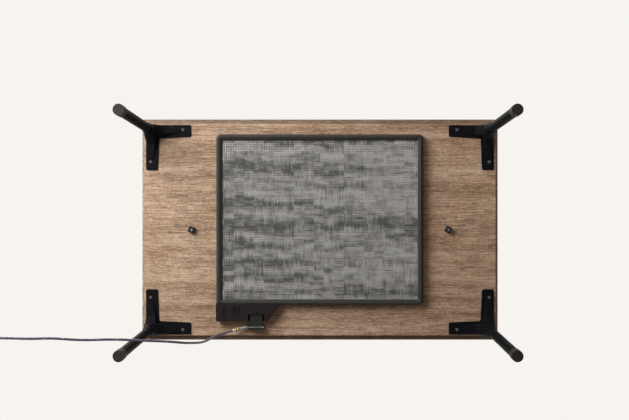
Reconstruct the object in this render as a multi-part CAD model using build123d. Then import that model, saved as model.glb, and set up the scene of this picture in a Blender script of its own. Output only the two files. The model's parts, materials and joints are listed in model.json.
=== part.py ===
from build123d import *
import math
import os

os.makedirs("parts", exist_ok=True)

# A kotatsu: a low table whose top lifts off a base board, with a flat electric heater under the
# board and four splayed steel legs. Millimetres, +Z up. The origin is on the floor under the
# middle of the table and +X runs along its length. The heater's plug is on the -Y side, the
# front, and +X is the right.

# ---- driving dimensions: boards ----
TABLE_HEIGHT = 380.0
TOP_LENGTH = 1000.0
TOP_WIDTH = 620.0
TOP_THICK = 18.0
TOP_CORNER = 4.0
BASE_LENGTH = 984.0
BASE_WIDTH = 592.0
BASE_THICK = 15.0
BASE_CORNER = 3.0
BAND_THICK = 1.0
BAND_EASE = 0.6

# ---- driving dimensions: legs and corner brackets ----
TUBE_DIAMETER = 25.4
TUBE_WALL = 1.2
SPLAY_X = 8.2
SPLAY_Y = 19.7
CAP_WALL = 1.5
CAP_LENGTH = 27.0
CAP_FLOOR = 4.5
CAP_EASE = 1.2
BRACKET_INSET_X = 5.8
BRACKET_INSET_Y = 3.5
BRACKET_PLATE = 3.0
ARM_LENGTH = 126.0
ARM_WIDTH_HUB = 37.0
ARM_WIDTH_END = 33.0
ARM_END_RADIUS = 4.5
HUB_FROM_EDGE = 17.0
HUB_FLARE = 1.9
SOCKET_WALL = 1.9
SOCKET_DEPTH = 62.0
SOCKET_ROOF = 9.0
RIB_LENGTH = 76.0
RIB_HEIGHT = 50.0
RIB_FROM_EDGE = 0.4

# ---- driving dimensions: fasteners ----
BRACKET_SCREW_RADIUS = 2.0
BRACKET_SCREW_HEAD_RADIUS = 4.4
BRACKET_SCREW_HEAD = 2.2
BRACKET_SCREW_LENGTH = 11.0
SCREW_FROM_ARM_END = 23.0
SCREW_FROM_EDGE = 13.2
LEG_BOLT_RADIUS = 4.0
LEG_BOLT_HEAD_RADIUS = 7.2
LEG_BOLT_LENGTH = 27.0
LEG_BOLT_SUNK = 0.6
LEG_BOLT_HEAD_RIM = 2.0
LEG_BOLT_KEY = 5.0
LEG_BOLT_KEY_DEPTH = 3.2
LEG_PLUG_LENGTH = 20.0
SMALL_SCREW_RADIUS = 1.5
SMALL_SCREW_HEAD_RADIUS = 3.0
SMALL_SCREW_HEAD = 1.6

# ---- driving dimensions: knobs that hold the tabletop ----
KNOB_FROM_END = 134.0
KNOB_SIDE = 17.0
KNOB_HEIGHT = 11.0
KNOB_CORNER = 3.0
KNOB_TURN_RIGHT = 20.0
KNOB_TURN_LEFT = 30.0
KNOB_SCREW_RADIUS = 3.0
KNOB_SCREW_HEAD_RADIUS = 3.6
KNOB_SCREW_HEAD_SINK = 1.0
KNOB_SCREW_SLOT = 1.1
KNOB_SCREW_SLOT_DEPTH = 1.2
KNOB_WASHER_THICK = 1.2
KNOB_WASHER_RADIUS = 7.5
INSERT_RADIUS = 4.5
INSERT_DEPTH = 12.0
INSERT_SPARE = 1.0

# ---- driving dimensions: heater ----
HEATER_LENGTH = 577.0
HEATER_WIDTH = 476.0
HEATER_THICK = 22.0
HEATER_Y = 28.0
HEATER_CORNER = 12.0
BEZEL_WIDTH = 17.0
BEZEL_SIDE_HEIGHT = 10.0
BEZEL_SLOPE = 4.5
BEZEL_CREST_HEIGHT = 20.0
BEZEL_CREST_IN = 7.5
BEZEL_LIP_STEP = 5.0
BEZEL_LIP_THICK = 2.0
BEZEL_WALL = 2.5
WINDOW_CORNER = 3.0
GUARD_THICK = 0.6
CLAMP_THICK = 2.0
CLAMP_WIDTH = 11.0
PAN_THICK = 0.6
ELEMENT_THICK = 1.2
REFLECTOR_THICK = 0.5
WIRING_CHANNEL = 26.0

# ---- driving dimensions: terminal box ----
BOX_REACH = 44.4
BOX_OVERLAP = 6.0
BOX_LENGTH = 144.5
BOX_SLANT = 31.0
BOX_WALL = 2.5
BOX_CORNER = 6.0
BOX_EASE = 1.5
BAY_FROM_SIDE = 111.6
BAY_WIDTH = 44.6
BAY_DEPTH = 20.0
BAY_NOTCH = 5.4
VENT_WIDTH = 1.8
VENT_PITCH = 5.6
VENT_LENGTH_SHORT = 19.0
VENT_LENGTH_LONG = 33.0
VENTS_LONG_IN = 21.0
VENTS_SHORT_IN = 49.0
VENT_FROM_BEZEL = 1.8

# ---- driving dimensions: inlet and heater plug ----
PIN_RADIUS = 2.0
PIN_SPACING = 13.0
PIN_LENGTH = 14.0
INLET_LENGTH = 10.0
INLET_WIDTH = 36.0
PLUG_THICK = 14.0
PLUG_GRIP_THICK = 18.0
PLUG_GRIP_LENGTH = 13.8
PLUG_GRIP_FROM_BOX = 10.6
PLUG_GRIP_ROUND = 3.0
PLUG_GRIP_EASE = 2.4
PLUG_GRIP_STEP = 1.5
PLUG_NECK_OVERLAP = 4.0
PLUG_EASE = 1.0
CONTACT_WALL = 1.0
CONTACT_LENGTH = 15.0
BOSS_RADIUS = 5.2
BOSS_LENGTH = 12.0
BOSS_PROUD = 4.0
BOSS_FROM_BOX = 16.0
RELIEF_LENGTH = 22.0
RELIEF_BASE_RADIUS = 4.8
RELIEF_LIP = 0.4
SLEEVE_LENGTH = 17.0
SLEEVE_RADIUS = 4.3
WIRE_RADIUS = 1.2
FUSE_RADIUS = 2.6
FUSE_LENGTH = 14.0
STAT_RADIUS = 8.5
STAT_THICK = 8.0
STAT_CUP = 4.0

# ---- driving dimensions: cord, hand controller, coil and wall plug ----
CORD_DIAMETER = 6.0
CONTROL_LENGTH = 118.0
CONTROL_WIDTH = 46.0
CONTROL_HEIGHT = 24.0
CONTROL_WALL = 2.0
CONTROL_CORNER = 12.0
CONTROL_EASE = 4.0
BUSH_LENGTH = 12.0
BUSH_RADIUS = 5.0
DIAL_RADIUS = 13.0
DIAL_HEIGHT = 6.0
DIAL_SINK = 3.0
DIAL_EASE = 1.2
DIAL_STEM_RADIUS = 3.0
DIAL_FLUTES = 18
FLUTE_RADIUS = 0.9
POINTER_WIDTH = 1.4
DIAL_FROM_MIDDLE = 23.6
SWITCH_TRAVEL = 6.0
SWITCH_LENGTH = 9.0
SWITCH_WIDTH = 7.0
SWITCH_PROUD = 2.5
SWITCH_GROOVE = 0.8
SWITCH_FROM_MIDDLE = 23.6
LAMP_FROM_MIDDLE = 42.1
LAMP_RADIUS = 2.5
LAMP_PROUD = 0.6
CONTROL_SCREW_IN = 9.0
CONTROL_SCREW_GRIP = 7.0
CONTROL_POST_RADIUS = 4.0
BOARD_FROM_END = 20.0
BOARD_WIDTH = 32.0
BOARD_THICK = 1.6
BOARD_ABOVE_CORD = 1.0
COIL_RADIUS = 35.0
COIL_BUNDLE = 18.0
COIL_LIFT = 1.0
TIE_WIDTH = 9.0
TIE_THICK = 1.0
TAIL_LENGTH = 22.0
WALL_PLUG_LENGTH = 30.0
WALL_PLUG_WIDTH = 26.0
WALL_PLUG_THICK = 17.0
BLADE_LENGTH = 17.0
BLADE_WIDTH = 6.3
BLADE_THICK = 1.5
BLADE_SPACING = 12.7
BLADE_HOLE_RADIUS = 1.5
BLADE_HOLE_FROM_TIP = 4.8

# ---- clearances ----
SNUG = 0.05
SEAT = 0.02
CLEAR = 0.4

# ---- places that follow from the dimensions ----
BASE_TOP = TABLE_HEIGHT - TOP_THICK
BASE_UNDER = BASE_TOP - BASE_THICK
KNOB_X = BASE_LENGTH / 2 - KNOB_FROM_END
BRACKET_X = BASE_LENGTH / 2 - BRACKET_INSET_X
BRACKET_Y = BASE_WIDTH / 2 - BRACKET_INSET_Y
HUB = Vector(BRACKET_X - HUB_FROM_EDGE, BRACKET_Y - HUB_FROM_EDGE, BASE_UNDER)
FOOT = Vector(HUB.X + SPLAY_X, HUB.Y + SPLAY_Y, 0)
LEG_PLANE = Plane(origin=HUB, z_dir=FOOT - HUB)
LEG_LENGTH = (FOOT - HUB).length
TUBE_RADIUS = TUBE_DIAMETER / 2
CAP_RADIUS = TUBE_RADIUS + CAP_WALL
HEATER_UNDER = BASE_UNDER - HEATER_THICK
HEATER_FRONT = HEATER_Y - HEATER_WIDTH / 2
HEATER_RIGHT = HEATER_LENGTH / 2
LIP_TOP = HEATER_UNDER + BEZEL_LIP_STEP + BEZEL_LIP_THICK
CLAMP_LOW = LIP_TOP + GUARD_THICK
STACK_LOW = CLAMP_LOW + CLAMP_THICK
BAY_X = HEATER_RIGHT - BAY_FROM_SIDE
BOX_FRONT = HEATER_FRONT - BOX_REACH
BAY_BACK = BOX_FRONT + BAY_DEPTH
PLUG_Z = HEATER_UNDER + PLUG_GRIP_THICK / 2 + PLUG_GRIP_STEP
CORD_RADIUS = CORD_DIAMETER / 2
LOW = (Align.CENTER, Align.CENTER, Align.MIN)

# The heater cord leaves the plug to the right, a little forward and down. Its points are the
# corners of a line of straight runs, which arcs then round; it falls to the floor and runs
# along it, past the right front leg, to the hand controller.
EXIT_POINT = Vector(BAY_X + BAY_WIDTH / 2 + BOSS_PROUD, BOX_FRONT - BOSS_FROM_BOX, PLUG_Z)
EXIT_DIRECTION = Vector(1.0, -0.25, -0.12).normalized()
CORD_START = EXIT_POINT + EXIT_DIRECTION * RELIEF_LENGTH
CORD_FIRST_RUN = 36.0
HEATER_CORD_POINTS = [
    CORD_START,
    CORD_START + EXIT_DIRECTION * CORD_FIRST_RUN,
    Vector(288, -291, 296),
    Vector(304, -295, 232),
    Vector(307, -286, 152),
    Vector(309, -275, 78),
    Vector(321, -267, 24),
    Vector(360, -260, 3),
    Vector(420, -258, 3),
    Vector(492, -254.5, 3),
    Vector(565, -257.5, 3),
    Vector(636, -252, 3),
    Vector(692, -254, 3),
    Vector(745, -253, 9),
    Vector(783, -253, 9),
]
CONTROL_START = HEATER_CORD_POINTS[-1]
CASE_LEFT = CONTROL_START.X + BUSH_LENGTH
CASE_X = CASE_LEFT + CONTROL_LENGTH / 2
CASE_RIGHT = CASE_LEFT + CONTROL_LENGTH
CASE_SPLIT = CONTROL_HEIGHT / 2
CASE_MIDDLE = (CASE_X, CONTROL_START.Y)
DIAL_AT = (CASE_X - DIAL_FROM_MIDDLE, CONTROL_START.Y)
SWITCH_AT = (CASE_X + SWITCH_FROM_MIDDLE, CONTROL_START.Y)
LAMP_AT = (CASE_X + LAMP_FROM_MIDDLE, CONTROL_START.Y)
SUPPLY_START = Vector(CASE_RIGHT + BUSH_LENGTH, CONTROL_START.Y, CONTROL_START.Z)
COIL_X = SUPPLY_START.X + COIL_RADIUS + COIL_BUNDLE / 2
COIL_Y = SUPPLY_START.Y + COIL_RADIUS
COIL_ENTRY_X = COIL_X - math.sqrt((COIL_RADIUS + COIL_BUNDLE / 2) ** 2 - COIL_RADIUS**2)
TAIL_Y = COIL_Y + COIL_RADIUS
WALL_PLUG_X = COIL_ENTRY_X - TAIL_LENGTH
BEND_SHARE = 0.45


def write(name, shape):
    """Write one node of the table."""
    export_step(shape, f"parts/{name}.step")


def slab(length, width, low, high, radius, at=(0, 0)):
    """A flat plate with upright rounded corners between two heights."""
    outline = Pos(at[0], at[1], low) * RectangleRounded(length, width, radius)
    return extrude(outline, high - low)


def box_between(low, high):
    """A plain block between two corners."""
    size = [b - a for a, b in zip(low, high)]
    middle = [(a + b) / 2 for a, b in zip(low, high)]
    return Pos(*middle) * Box(*size)


def rod(radius, start, end):
    """A round bar between two points."""
    start, end = Vector(start), Vector(end)
    plane = Plane(origin=start, z_dir=end - start)
    return plane.location * Cylinder(radius, (end - start).length, align=LOW)


def tapered_rod(start_radius, end_radius, start, end):
    """A cone between two points."""
    start, end = Vector(start), Vector(end)
    plane = Plane(origin=start, z_dir=end - start)
    return plane.location * Cone(start_radius, end_radius, (end - start).length, align=LOW)


def along_leg(shape, distance=0.0):
    """Place a shape on the leg's axis, that far down from the underside of the base board."""
    return (LEG_PLANE * Pos(0, 0, distance)) * shape


def at_corners(shape):
    """The shape of the right rear corner, with its copies at the other three."""
    left = shape.mirror(Plane.YZ)
    return {
        "rear_right": shape,
        "rear_left": left,
        "front_right": shape.mirror(Plane.XZ),
        "front_left": left.mirror(Plane.XZ),
    }


def group(shapes):
    """Several separate solids that make one node."""
    return Compound(children=[solid for shape in shapes for solid in shape.solids()])


# ---- boards ----
def bracket_screw_places():
    """Where the two screws of the right rear bracket stand."""
    return [
        (BRACKET_X - ARM_LENGTH + SCREW_FROM_ARM_END, BRACKET_Y - SCREW_FROM_EDGE),
        (BRACKET_X - SCREW_FROM_EDGE, BRACKET_Y - ARM_LENGTH + SCREW_FROM_ARM_END),
    ]


def pan_screw_places():
    """Where the back pan is screwed to the base board, in from its corners."""
    inset = BEZEL_WALL + CLEAR + 2.5 * SMALL_SCREW_HEAD_RADIUS
    x, y = HEATER_LENGTH / 2 - inset, HEATER_WIDTH / 2 - inset
    return [(sx * x, HEATER_Y + sy * y) for sx in (-1, 1) for sy in (-1, 1)]


def tabletop():
    """The lift-off top: a board with a thin band round its edge and two threaded inserts."""
    ring = 2 * BAND_THICK
    board = slab(
        TOP_LENGTH - ring, TOP_WIDTH - ring, BASE_TOP, TABLE_HEIGHT, TOP_CORNER - BAND_THICK
    )
    band = slab(TOP_LENGTH, TOP_WIDTH, BASE_TOP, TABLE_HEIGHT, TOP_CORNER)
    band = chamfer(band.faces().sort_by(Axis.Z)[-1].edges(), BAND_EASE)
    band = chamfer(band.faces().sort_by(Axis.Z)[0].edges(), BAND_EASE) - board
    pockets, inserts = [], []
    for x in (-KNOB_X, KNOB_X):
        pockets.append(Pos(x, 0, BASE_TOP) * Cylinder(INSERT_RADIUS, INSERT_DEPTH, align=LOW))
        body = Pos(x, 0, BASE_TOP) * Cylinder(INSERT_RADIUS - SEAT, INSERT_DEPTH, align=LOW)
        thread = Cylinder(KNOB_SCREW_RADIUS + SNUG, INSERT_DEPTH, align=LOW)
        inserts.append(body - Pos(x, 0, BASE_TOP) * thread)
    write("tabletop_board", board - pockets)
    write("tabletop_edge_band", band)
    write("tabletop_inserts", group(inserts))


def base():
    """The base board: it carries the legs and the heater, and the knob screws pass through it."""
    ring = 2 * BAND_THICK
    board = slab(
        BASE_LENGTH - ring, BASE_WIDTH - ring, BASE_UNDER, BASE_TOP, BASE_CORNER - BAND_THICK
    )
    band = slab(BASE_LENGTH, BASE_WIDTH, BASE_UNDER, BASE_TOP, BASE_CORNER)
    band = chamfer(band.faces().sort_by(Axis.Z)[0].edges(), BAND_EASE) - board
    holes = [
        Pos(x, 0, BASE_UNDER) * Cylinder(KNOB_SCREW_RADIUS + CLEAR, BASE_THICK, align=LOW)
        for x in (-KNOB_X, KNOB_X)
    ]
    for x, y in bracket_screw_places():
        pilot = Cylinder(BRACKET_SCREW_RADIUS + SNUG, BRACKET_SCREW_LENGTH, align=LOW)
        holes += [Pos(sx * x, sy * y, BASE_UNDER) * pilot for sx in (-1, 1) for sy in (-1, 1)]
    for x, y in pan_screw_places():
        pilot = Cylinder(SMALL_SCREW_RADIUS + SNUG, BASE_THICK / 2, align=LOW)
        holes.append(Pos(x, y, BASE_UNDER) * pilot)
    write("base_board", board - holes)
    write("base_edge_band", band)


# ---- legs ----
def bracket_plate():
    """The L-shaped plate of a bracket, whose arms narrow towards their rounded ends."""
    narrow, wide = ARM_WIDTH_END, ARM_WIDTH_HUB
    corners = [
        (BRACKET_X, BRACKET_Y),
        (BRACKET_X - ARM_LENGTH, BRACKET_Y),
        (BRACKET_X - ARM_LENGTH, BRACKET_Y - narrow),
        (BRACKET_X - wide, BRACKET_Y - wide),
        (BRACKET_X - narrow, BRACKET_Y - ARM_LENGTH),
        (BRACKET_X, BRACKET_Y - ARM_LENGTH),
    ]
    end = ARM_END_RADIUS
    radii = [HUB_FROM_EDGE / 2, end, end, end, end, end]
    outline = FilletPolyline(*corners, radius=radii, close=True)
    plate = extrude(Pos(0, 0, BASE_UNDER - BRACKET_PLATE) * make_face(outline), BRACKET_PLATE)
    return chamfer(plate.faces().sort_by(Axis.Z)[0].edges(), BRACKET_PLATE / 3)


def bracket_rib(towards):
    """The ridge from the leg's hub along one arm: steep and full at the hub, then low and narrow."""
    steps = [
        (0.0, 0.95, 1.0), (0.12, 0.98, 0.75), (0.22, 0.97, 0.5),
        (0.32, 0.92, 0.32), (0.47, 0.8, 0.17), (1.0, 0.42, 0.07),
    ]
    sections = []
    for share, width_share, height_share in steps:
        place = Vector(HUB.X, HUB.Y, BASE_UNDER - BRACKET_PLATE / 2) + towards * share * RIB_LENGTH
        plane = Plane(origin=place, x_dir=(0, 0, 1), z_dir=towards)
        height = height_share * RIB_HEIGHT
        width = width_share * (HUB_FROM_EDGE - RIB_FROM_EDGE)
        corner = 0.45 * min(height, width)
        sections.append(plane * RectangleRounded(2 * height, 2 * width, corner))
    return loft(sections, ruled=True)


def corner_bracket():
    """The cast bracket of the right rear corner: plate, two ribs and the leg's flared socket."""
    mouth = TUBE_RADIUS + SOCKET_WALL
    overrun = 2 * HUB_FROM_EDGE
    hub = along_leg(Cylinder(mouth + HUB_FLARE, overrun, align=LOW), -overrun)
    hub += along_leg(Cone(mouth + HUB_FLARE, mouth, SOCKET_DEPTH, align=LOW))
    screws = [Vector(x, y) for x, y in bracket_screw_places()]
    level_hub = Vector(HUB.X, HUB.Y)
    body = bracket_plate() + hub
    for screw in screws:
        body += bracket_rib((screw - level_hub).normalized())
    body -= Pos(HUB.X, HUB.Y, BASE_UNDER) * Box(2 * ARM_LENGTH, 2 * ARM_LENGTH, ARM_LENGTH, align=LOW)
    bore = Cylinder(TUBE_RADIUS + SNUG, SOCKET_DEPTH, align=LOW)
    body -= along_leg(bore, SOCKET_ROOF)
    body -= along_leg(Cylinder(LEG_BOLT_RADIUS + CLEAR, 2 * SOCKET_ROOF), 0)
    body -= along_leg(countersink(CLEAR), LEG_BOLT_SUNK)
    body -= along_leg(Cylinder(LEG_BOLT_HEAD_RADIUS + CLEAR, 2 * (LEG_BOLT_SUNK + LEG_BOLT_HEAD_RIM)))
    for x, y in bracket_screw_places():
        hole = Cylinder(BRACKET_SCREW_RADIUS + CLEAR, 2 * BRACKET_PLATE)
        body -= Pos(x, y, BASE_UNDER - BRACKET_PLATE / 2) * hole
        seat = Cylinder(BRACKET_SCREW_HEAD_RADIUS + CLEAR, RIB_HEIGHT / 2, align=LOW)
        body -= Pos(x, y, BASE_UNDER - BRACKET_PLATE - RIB_HEIGHT / 2) * seat
    return body


def countersink(gap):
    """The leg bolt's conical head, made larger by the gap, with its wide end up."""
    depth = LEG_BOLT_HEAD_RADIUS - LEG_BOLT_RADIUS
    rim = Cylinder(LEG_BOLT_HEAD_RADIUS + gap, LEG_BOLT_HEAD_RIM, align=LOW)
    cone = Cone(LEG_BOLT_HEAD_RADIUS + gap, LEG_BOLT_RADIUS + gap, depth, align=LOW)
    return rim + Pos(0, 0, LEG_BOLT_HEAD_RIM) * cone


def leg_bolt():
    """The bolt that draws the leg into its socket; its head lies under the base board."""
    head = countersink(0)
    shank = Cylinder(LEG_BOLT_RADIUS, LEG_BOLT_LENGTH, align=LOW)
    hexagon = extrude(RegularPolygon(LEG_BOLT_KEY / 2, 6, major_radius=False), LEG_BOLT_KEY_DEPTH)
    return along_leg(head + shank - hexagon, LEG_BOLT_SUNK)


def legs():
    """Brackets, tubes, caps, bolts and threaded plugs at the four corners."""
    tube = Cylinder(TUBE_RADIUS, LEG_LENGTH - SOCKET_ROOF - CAP_FLOOR, align=LOW)
    tube -= Cylinder(TUBE_RADIUS - TUBE_WALL, LEG_LENGTH, align=LOW)
    cap = Cylinder(CAP_RADIUS, CAP_LENGTH + CAP_RADIUS, align=LOW)
    cap = chamfer(cap.edges().sort_by(Axis.Z)[0], CAP_EASE)
    cap -= Cylinder(TUBE_RADIUS + SNUG, CAP_LENGTH - CAP_FLOOR, align=LOW)
    cap = along_leg(cap, LEG_LENGTH - CAP_LENGTH)
    floor = Pos(FOOT.X, FOOT.Y) * Box(8 * CAP_RADIUS, 8 * CAP_RADIUS, 4 * CAP_RADIUS,
                                      align=(Align.CENTER, Align.CENTER, Align.MAX))
    plug = Cylinder(TUBE_RADIUS - TUBE_WALL - SEAT, LEG_PLUG_LENGTH, align=LOW)
    plug -= Cylinder(LEG_BOLT_RADIUS + SNUG, LEG_PLUG_LENGTH, align=LOW)
    for node, shape in (
        ("corner_bracket", corner_bracket()),
        ("leg_tube", along_leg(tube, SOCKET_ROOF)),
        ("foot_cap", cap - floor),
    ):
        for corner, placed in at_corners(shape).items():
            write(f"{node}_{corner}", placed)
    write("leg_bolts", group(at_corners(leg_bolt()).values()))
    write("leg_threaded_plugs", group(at_corners(along_leg(plug, SOCKET_ROOF)).values()))
    screws = []
    for x, y in bracket_screw_places():
        screw = pan_head_screw(
            BRACKET_SCREW_RADIUS, BRACKET_SCREW_LENGTH + BRACKET_PLATE,
            BRACKET_SCREW_HEAD_RADIUS, BRACKET_SCREW_HEAD,
        )
        placed = Pos(x, y, BASE_UNDER - BRACKET_PLATE) * screw
        screws += at_corners(placed).values()
    write("bracket_screws", group(screws))


def pan_head_screw(radius, length, head_radius, head):
    """A plain screw pointing up from its seat at the origin, with its bevelled head below."""
    pan = Pos(0, 0, -head) * Cylinder(head_radius, head, align=LOW)
    pan = chamfer(pan.edges().sort_by(Axis.Z)[0], head * 0.4)
    shank = Cylinder(radius, length - radius, align=LOW)
    shank += Pos(0, 0, length - radius) * Cone(radius, radius / 4, radius, align=LOW)
    return pan + shank


# ---- knobs ----
def knob(name, x, turn):
    """A square knob moulded round a screw that passes through the base board into the top."""
    seat = BASE_UNDER - KNOB_WASHER_THICK
    low = seat - KNOB_HEIGHT
    grip = extrude(RectangleRounded(KNOB_SIDE, KNOB_SIDE, KNOB_CORNER), KNOB_HEIGHT)
    grip = chamfer(grip.faces().sort_by(Axis.Z)[0].edges(), KNOB_CORNER / 2)
    head_radius, sink = KNOB_SCREW_HEAD_RADIUS, KNOB_SCREW_HEAD_SINK
    grip -= Cylinder(head_radius, 2 * KNOB_HEIGHT)
    head = Pos(0, 0, sink) * Cylinder(head_radius - SEAT, KNOB_HEIGHT - sink, align=LOW)
    slot = Box(1.4 * head_radius, KNOB_SCREW_SLOT, 2 * KNOB_SCREW_SLOT_DEPTH)
    head -= Pos(0, 0, sink) * (slot + Rot(0, 0, 90) * slot)
    reach = KNOB_WASHER_THICK + BASE_THICK + INSERT_DEPTH - INSERT_SPARE
    shank = Pos(0, 0, KNOB_HEIGHT) * Cylinder(KNOB_SCREW_RADIUS, reach, align=LOW)
    washer = Cylinder(KNOB_WASHER_RADIUS, KNOB_WASHER_THICK, align=LOW)
    washer -= Cylinder(KNOB_SCREW_RADIUS + SNUG, KNOB_WASHER_THICK, align=LOW)
    place = Pos(x, 0, low) * Rot(0, 0, turn)
    write(f"knob_{name}", place * grip)
    write(f"knob_screw_{name}", place * (head + shank))
    write(f"knob_washer_{name}", Pos(x, 0, seat) * washer)


# ---- heater ----
def heater_outline(inset, corner):
    """The heater's outline, moved in by the inset."""
    outline = RectangleRounded(HEATER_LENGTH - 2 * inset, HEATER_WIDTH - 2 * inset, corner)
    return Pos(0, HEATER_Y) * outline


def heater_slab(inset, low, high, corner):
    """A plate with the heater's outline, moved in by the inset."""
    return extrude(Pos(0, 0, low) * heater_outline(inset, corner), high - low)


def bezel_envelope(inset=0.0):
    """The bezel's outside without its window: upright sides, a slope and a narrow crest."""
    side_low = BASE_UNDER - BEZEL_SIDE_HEIGHT
    crest = BASE_UNDER - BEZEL_CREST_HEIGHT
    corner = HEATER_CORNER
    sides = heater_slab(inset, side_low, BASE_UNDER, corner)
    rings = [
        (inset, side_low, corner),
        (inset + BEZEL_SLOPE, crest, corner - BEZEL_SLOPE / 2),
        (inset + BEZEL_CREST_IN, HEATER_UNDER, corner - BEZEL_CREST_IN / 2),
    ]
    placed = [Pos(0, 0, height) * heater_outline(step, radius) for step, height, radius in rings]
    return sides + loft(placed, ruled=True)


def wire_way():
    """The hole through the bezel's and the pan's front walls, from the terminal box inwards."""
    height = BEZEL_SIDE_HEIGHT - PAN_THICK - 2.5
    low = (HEATER_RIGHT - BOX_LENGTH / 2, HEATER_FRONT - 1, BASE_UNDER - PAN_THICK - 1 - height)
    return box_between(low, (low[0] + BOX_LENGTH / 4, HEATER_FRONT + BEZEL_WALL + 4, low[2] + height))


def heater_bezel():
    """The moulded frame that shows round the guard, hollow behind, with a lip at its window."""
    lip_low = HEATER_UNDER + BEZEL_LIP_STEP
    crest_end = BEZEL_CREST_IN + 2.0
    slope = loft(
        [
            Pos(0, 0, HEATER_UNDER) * heater_outline(crest_end, HEATER_CORNER - crest_end / 2),
            Pos(0, 0, lip_low) * heater_outline(BEZEL_WIDTH, WINDOW_CORNER),
        ],
        ruled=True,
    )
    window = heater_slab(BEZEL_WIDTH, lip_low, BASE_UNDER, WINDOW_CORNER)
    cavity = heater_slab(BEZEL_WALL, LIP_TOP, BASE_UNDER, HEATER_CORNER - BEZEL_WALL)
    hollow = heater_slab(BEZEL_SLOPE + BEZEL_WALL, HEATER_UNDER + BEZEL_WALL, LIP_TOP, WINDOW_CORNER)
    hollow -= heater_slab(BEZEL_WIDTH - BEZEL_WALL - 2, HEATER_UNDER, LIP_TOP, WINDOW_CORNER)
    return bezel_envelope() - slope - window - cavity - hollow - wire_way()


def heater():
    """The flat heater: bezel, guard, clamp frame, element, reflector, mat and back pan."""
    write("heater_bezel", heater_bezel())
    inside = BEZEL_WALL + CLEAR
    corner = HEATER_CORNER - BEZEL_WALL
    rim = inside + PAN_THICK + CLEAR
    write("heater_guard", heater_slab(rim, LIP_TOP, CLAMP_LOW, corner / 2))
    clamp = heater_slab(rim, CLAMP_LOW, STACK_LOW, corner / 2)
    clamp -= heater_slab(rim + CLAMP_WIDTH, CLAMP_LOW, STACK_LOW, WINDOW_CORNER)
    write("guard_clamp_frame", clamp)
    pan = heater_slab(inside, LIP_TOP, BASE_UNDER, corner)
    pan -= heater_slab(inside + PAN_THICK, LIP_TOP, BASE_UNDER - PAN_THICK, corner / 2)
    for x, y in pan_screw_places():
        pan -= Pos(x, y, BASE_UNDER) * Cylinder(SMALL_SCREW_RADIUS + CLEAR, 4 * PAN_THICK)
    write("heater_back_pan", pan - wire_way())
    levels = [STACK_LOW, STACK_LOW + ELEMENT_THICK]
    levels += [levels[-1] + REFLECTOR_THICK, BASE_UNDER - PAN_THICK]
    keep = 4 * SMALL_SCREW_HEAD_RADIUS
    for name, low, high in zip(
        ("heating_element", "heat_reflector", "insulation_mat"), levels[:-1], levels[1:]
    ):
        layer = heater_slab(rim, low, high, corner / 2)
        cut = (-HEATER_LENGTH, HEATER_FRONT - 1, low - 1)
        layer -= box_between(cut, (HEATER_LENGTH, HEATER_FRONT + WIRING_CHANNEL, high + 1))
        for x, y in pan_screw_places():
            layer -= Pos(x, y, (low + high) / 2) * Box(keep, keep, 2 * (high - low))
        write(name, layer)
    screw = pan_head_screw(
        SMALL_SCREW_RADIUS, BASE_THICK / 2, SMALL_SCREW_HEAD_RADIUS, SMALL_SCREW_HEAD
    )
    seat = BASE_UNDER - PAN_THICK
    write("pan_screws", group([Pos(x, y, seat) * screw for x, y in pan_screw_places()]))
    thermal_parts()


def thermal_parts():
    """The fuse in the wiring channel, the thermostat in the terminal box and their wires."""
    mat_front = HEATER_FRONT + WIRING_CHANNEL
    channel_y = HEATER_FRONT + WIRING_CHANNEL / 2
    level = (STACK_LOW + BASE_UNDER - PAN_THICK) / 2
    way = wire_way().bounding_box()
    fuse_end = BAY_X
    fuse_start = fuse_end - FUSE_LENGTH
    write("thermal_fuse", rod(FUSE_RADIUS, (fuse_start, channel_y, level), (fuse_end, channel_y, level)))
    stat_x = HEATER_RIGHT - VENTS_SHORT_IN + VENT_PITCH
    stat_y = (BOX_FRONT + HEATER_FRONT) / 2
    disc = Pos(stat_x, stat_y, BASE_UNDER - STAT_THICK) * Cylinder(STAT_RADIUS, STAT_THICK, align=LOW)
    cup = Cylinder(STAT_RADIUS - 2, STAT_CUP, align=LOW)
    write("thermostat", disc + Pos(stat_x, stat_y, BASE_UNDER - STAT_THICK - STAT_CUP) * cup)
    inlet_back = BAY_BACK + BOX_WALL + INLET_LENGTH
    near, far = inlet_back + 4, HEATER_FRONT - 3
    left_pin, right_pin = BAY_X - PIN_SPACING / 2, BAY_X + PIN_SPACING / 2
    routes = [
        [
            (right_pin, inlet_back),
            (right_pin, near),
            (right_pin + 25, near),
            (stat_x - STAT_RADIUS - 8, stat_y),
            (stat_x - STAT_RADIUS, stat_y),
        ],
        [
            (stat_x, stat_y + STAT_RADIUS),
            (stat_x, far),
            (stat_x + 4, channel_y),
            (stat_x + 4, mat_front),
        ],
        [
            (left_pin, inlet_back),
            (left_pin, far),
            (way.min.X, far),
            (way.min.X + 5, HEATER_FRONT + 3),
            (way.min.X + 5, channel_y),
            (fuse_end, channel_y),
        ],
        [
            (fuse_start, channel_y),
            (fuse_start - 10, channel_y),
            (fuse_start - 10, mat_front),
        ],
    ]
    wires = [
        tube(rounded_path([Vector(x, y, level) for x, y in route])[0], WIRE_RADIUS) for route in routes
    ]
    write("heater_lead_wires", group(wires))


# ---- terminal box, inlet and plug ----
def box_outline(inset):
    """The terminal box's outline: square to the right, slanting back at its left end."""
    right = HEATER_RIGHT - inset
    front = BOX_FRONT + inset
    left = HEATER_RIGHT - BOX_LENGTH + inset
    back = HEATER_FRONT + BOX_OVERLAP - inset
    slant = BOX_SLANT * (back - front) / BOX_REACH
    corners = [(right, back), (right, front), (left, front), (left - slant, back)]
    return FilletPolyline(*corners, radius=[0, BOX_CORNER, BOX_CORNER * 1.5, 0], close=True)


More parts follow.
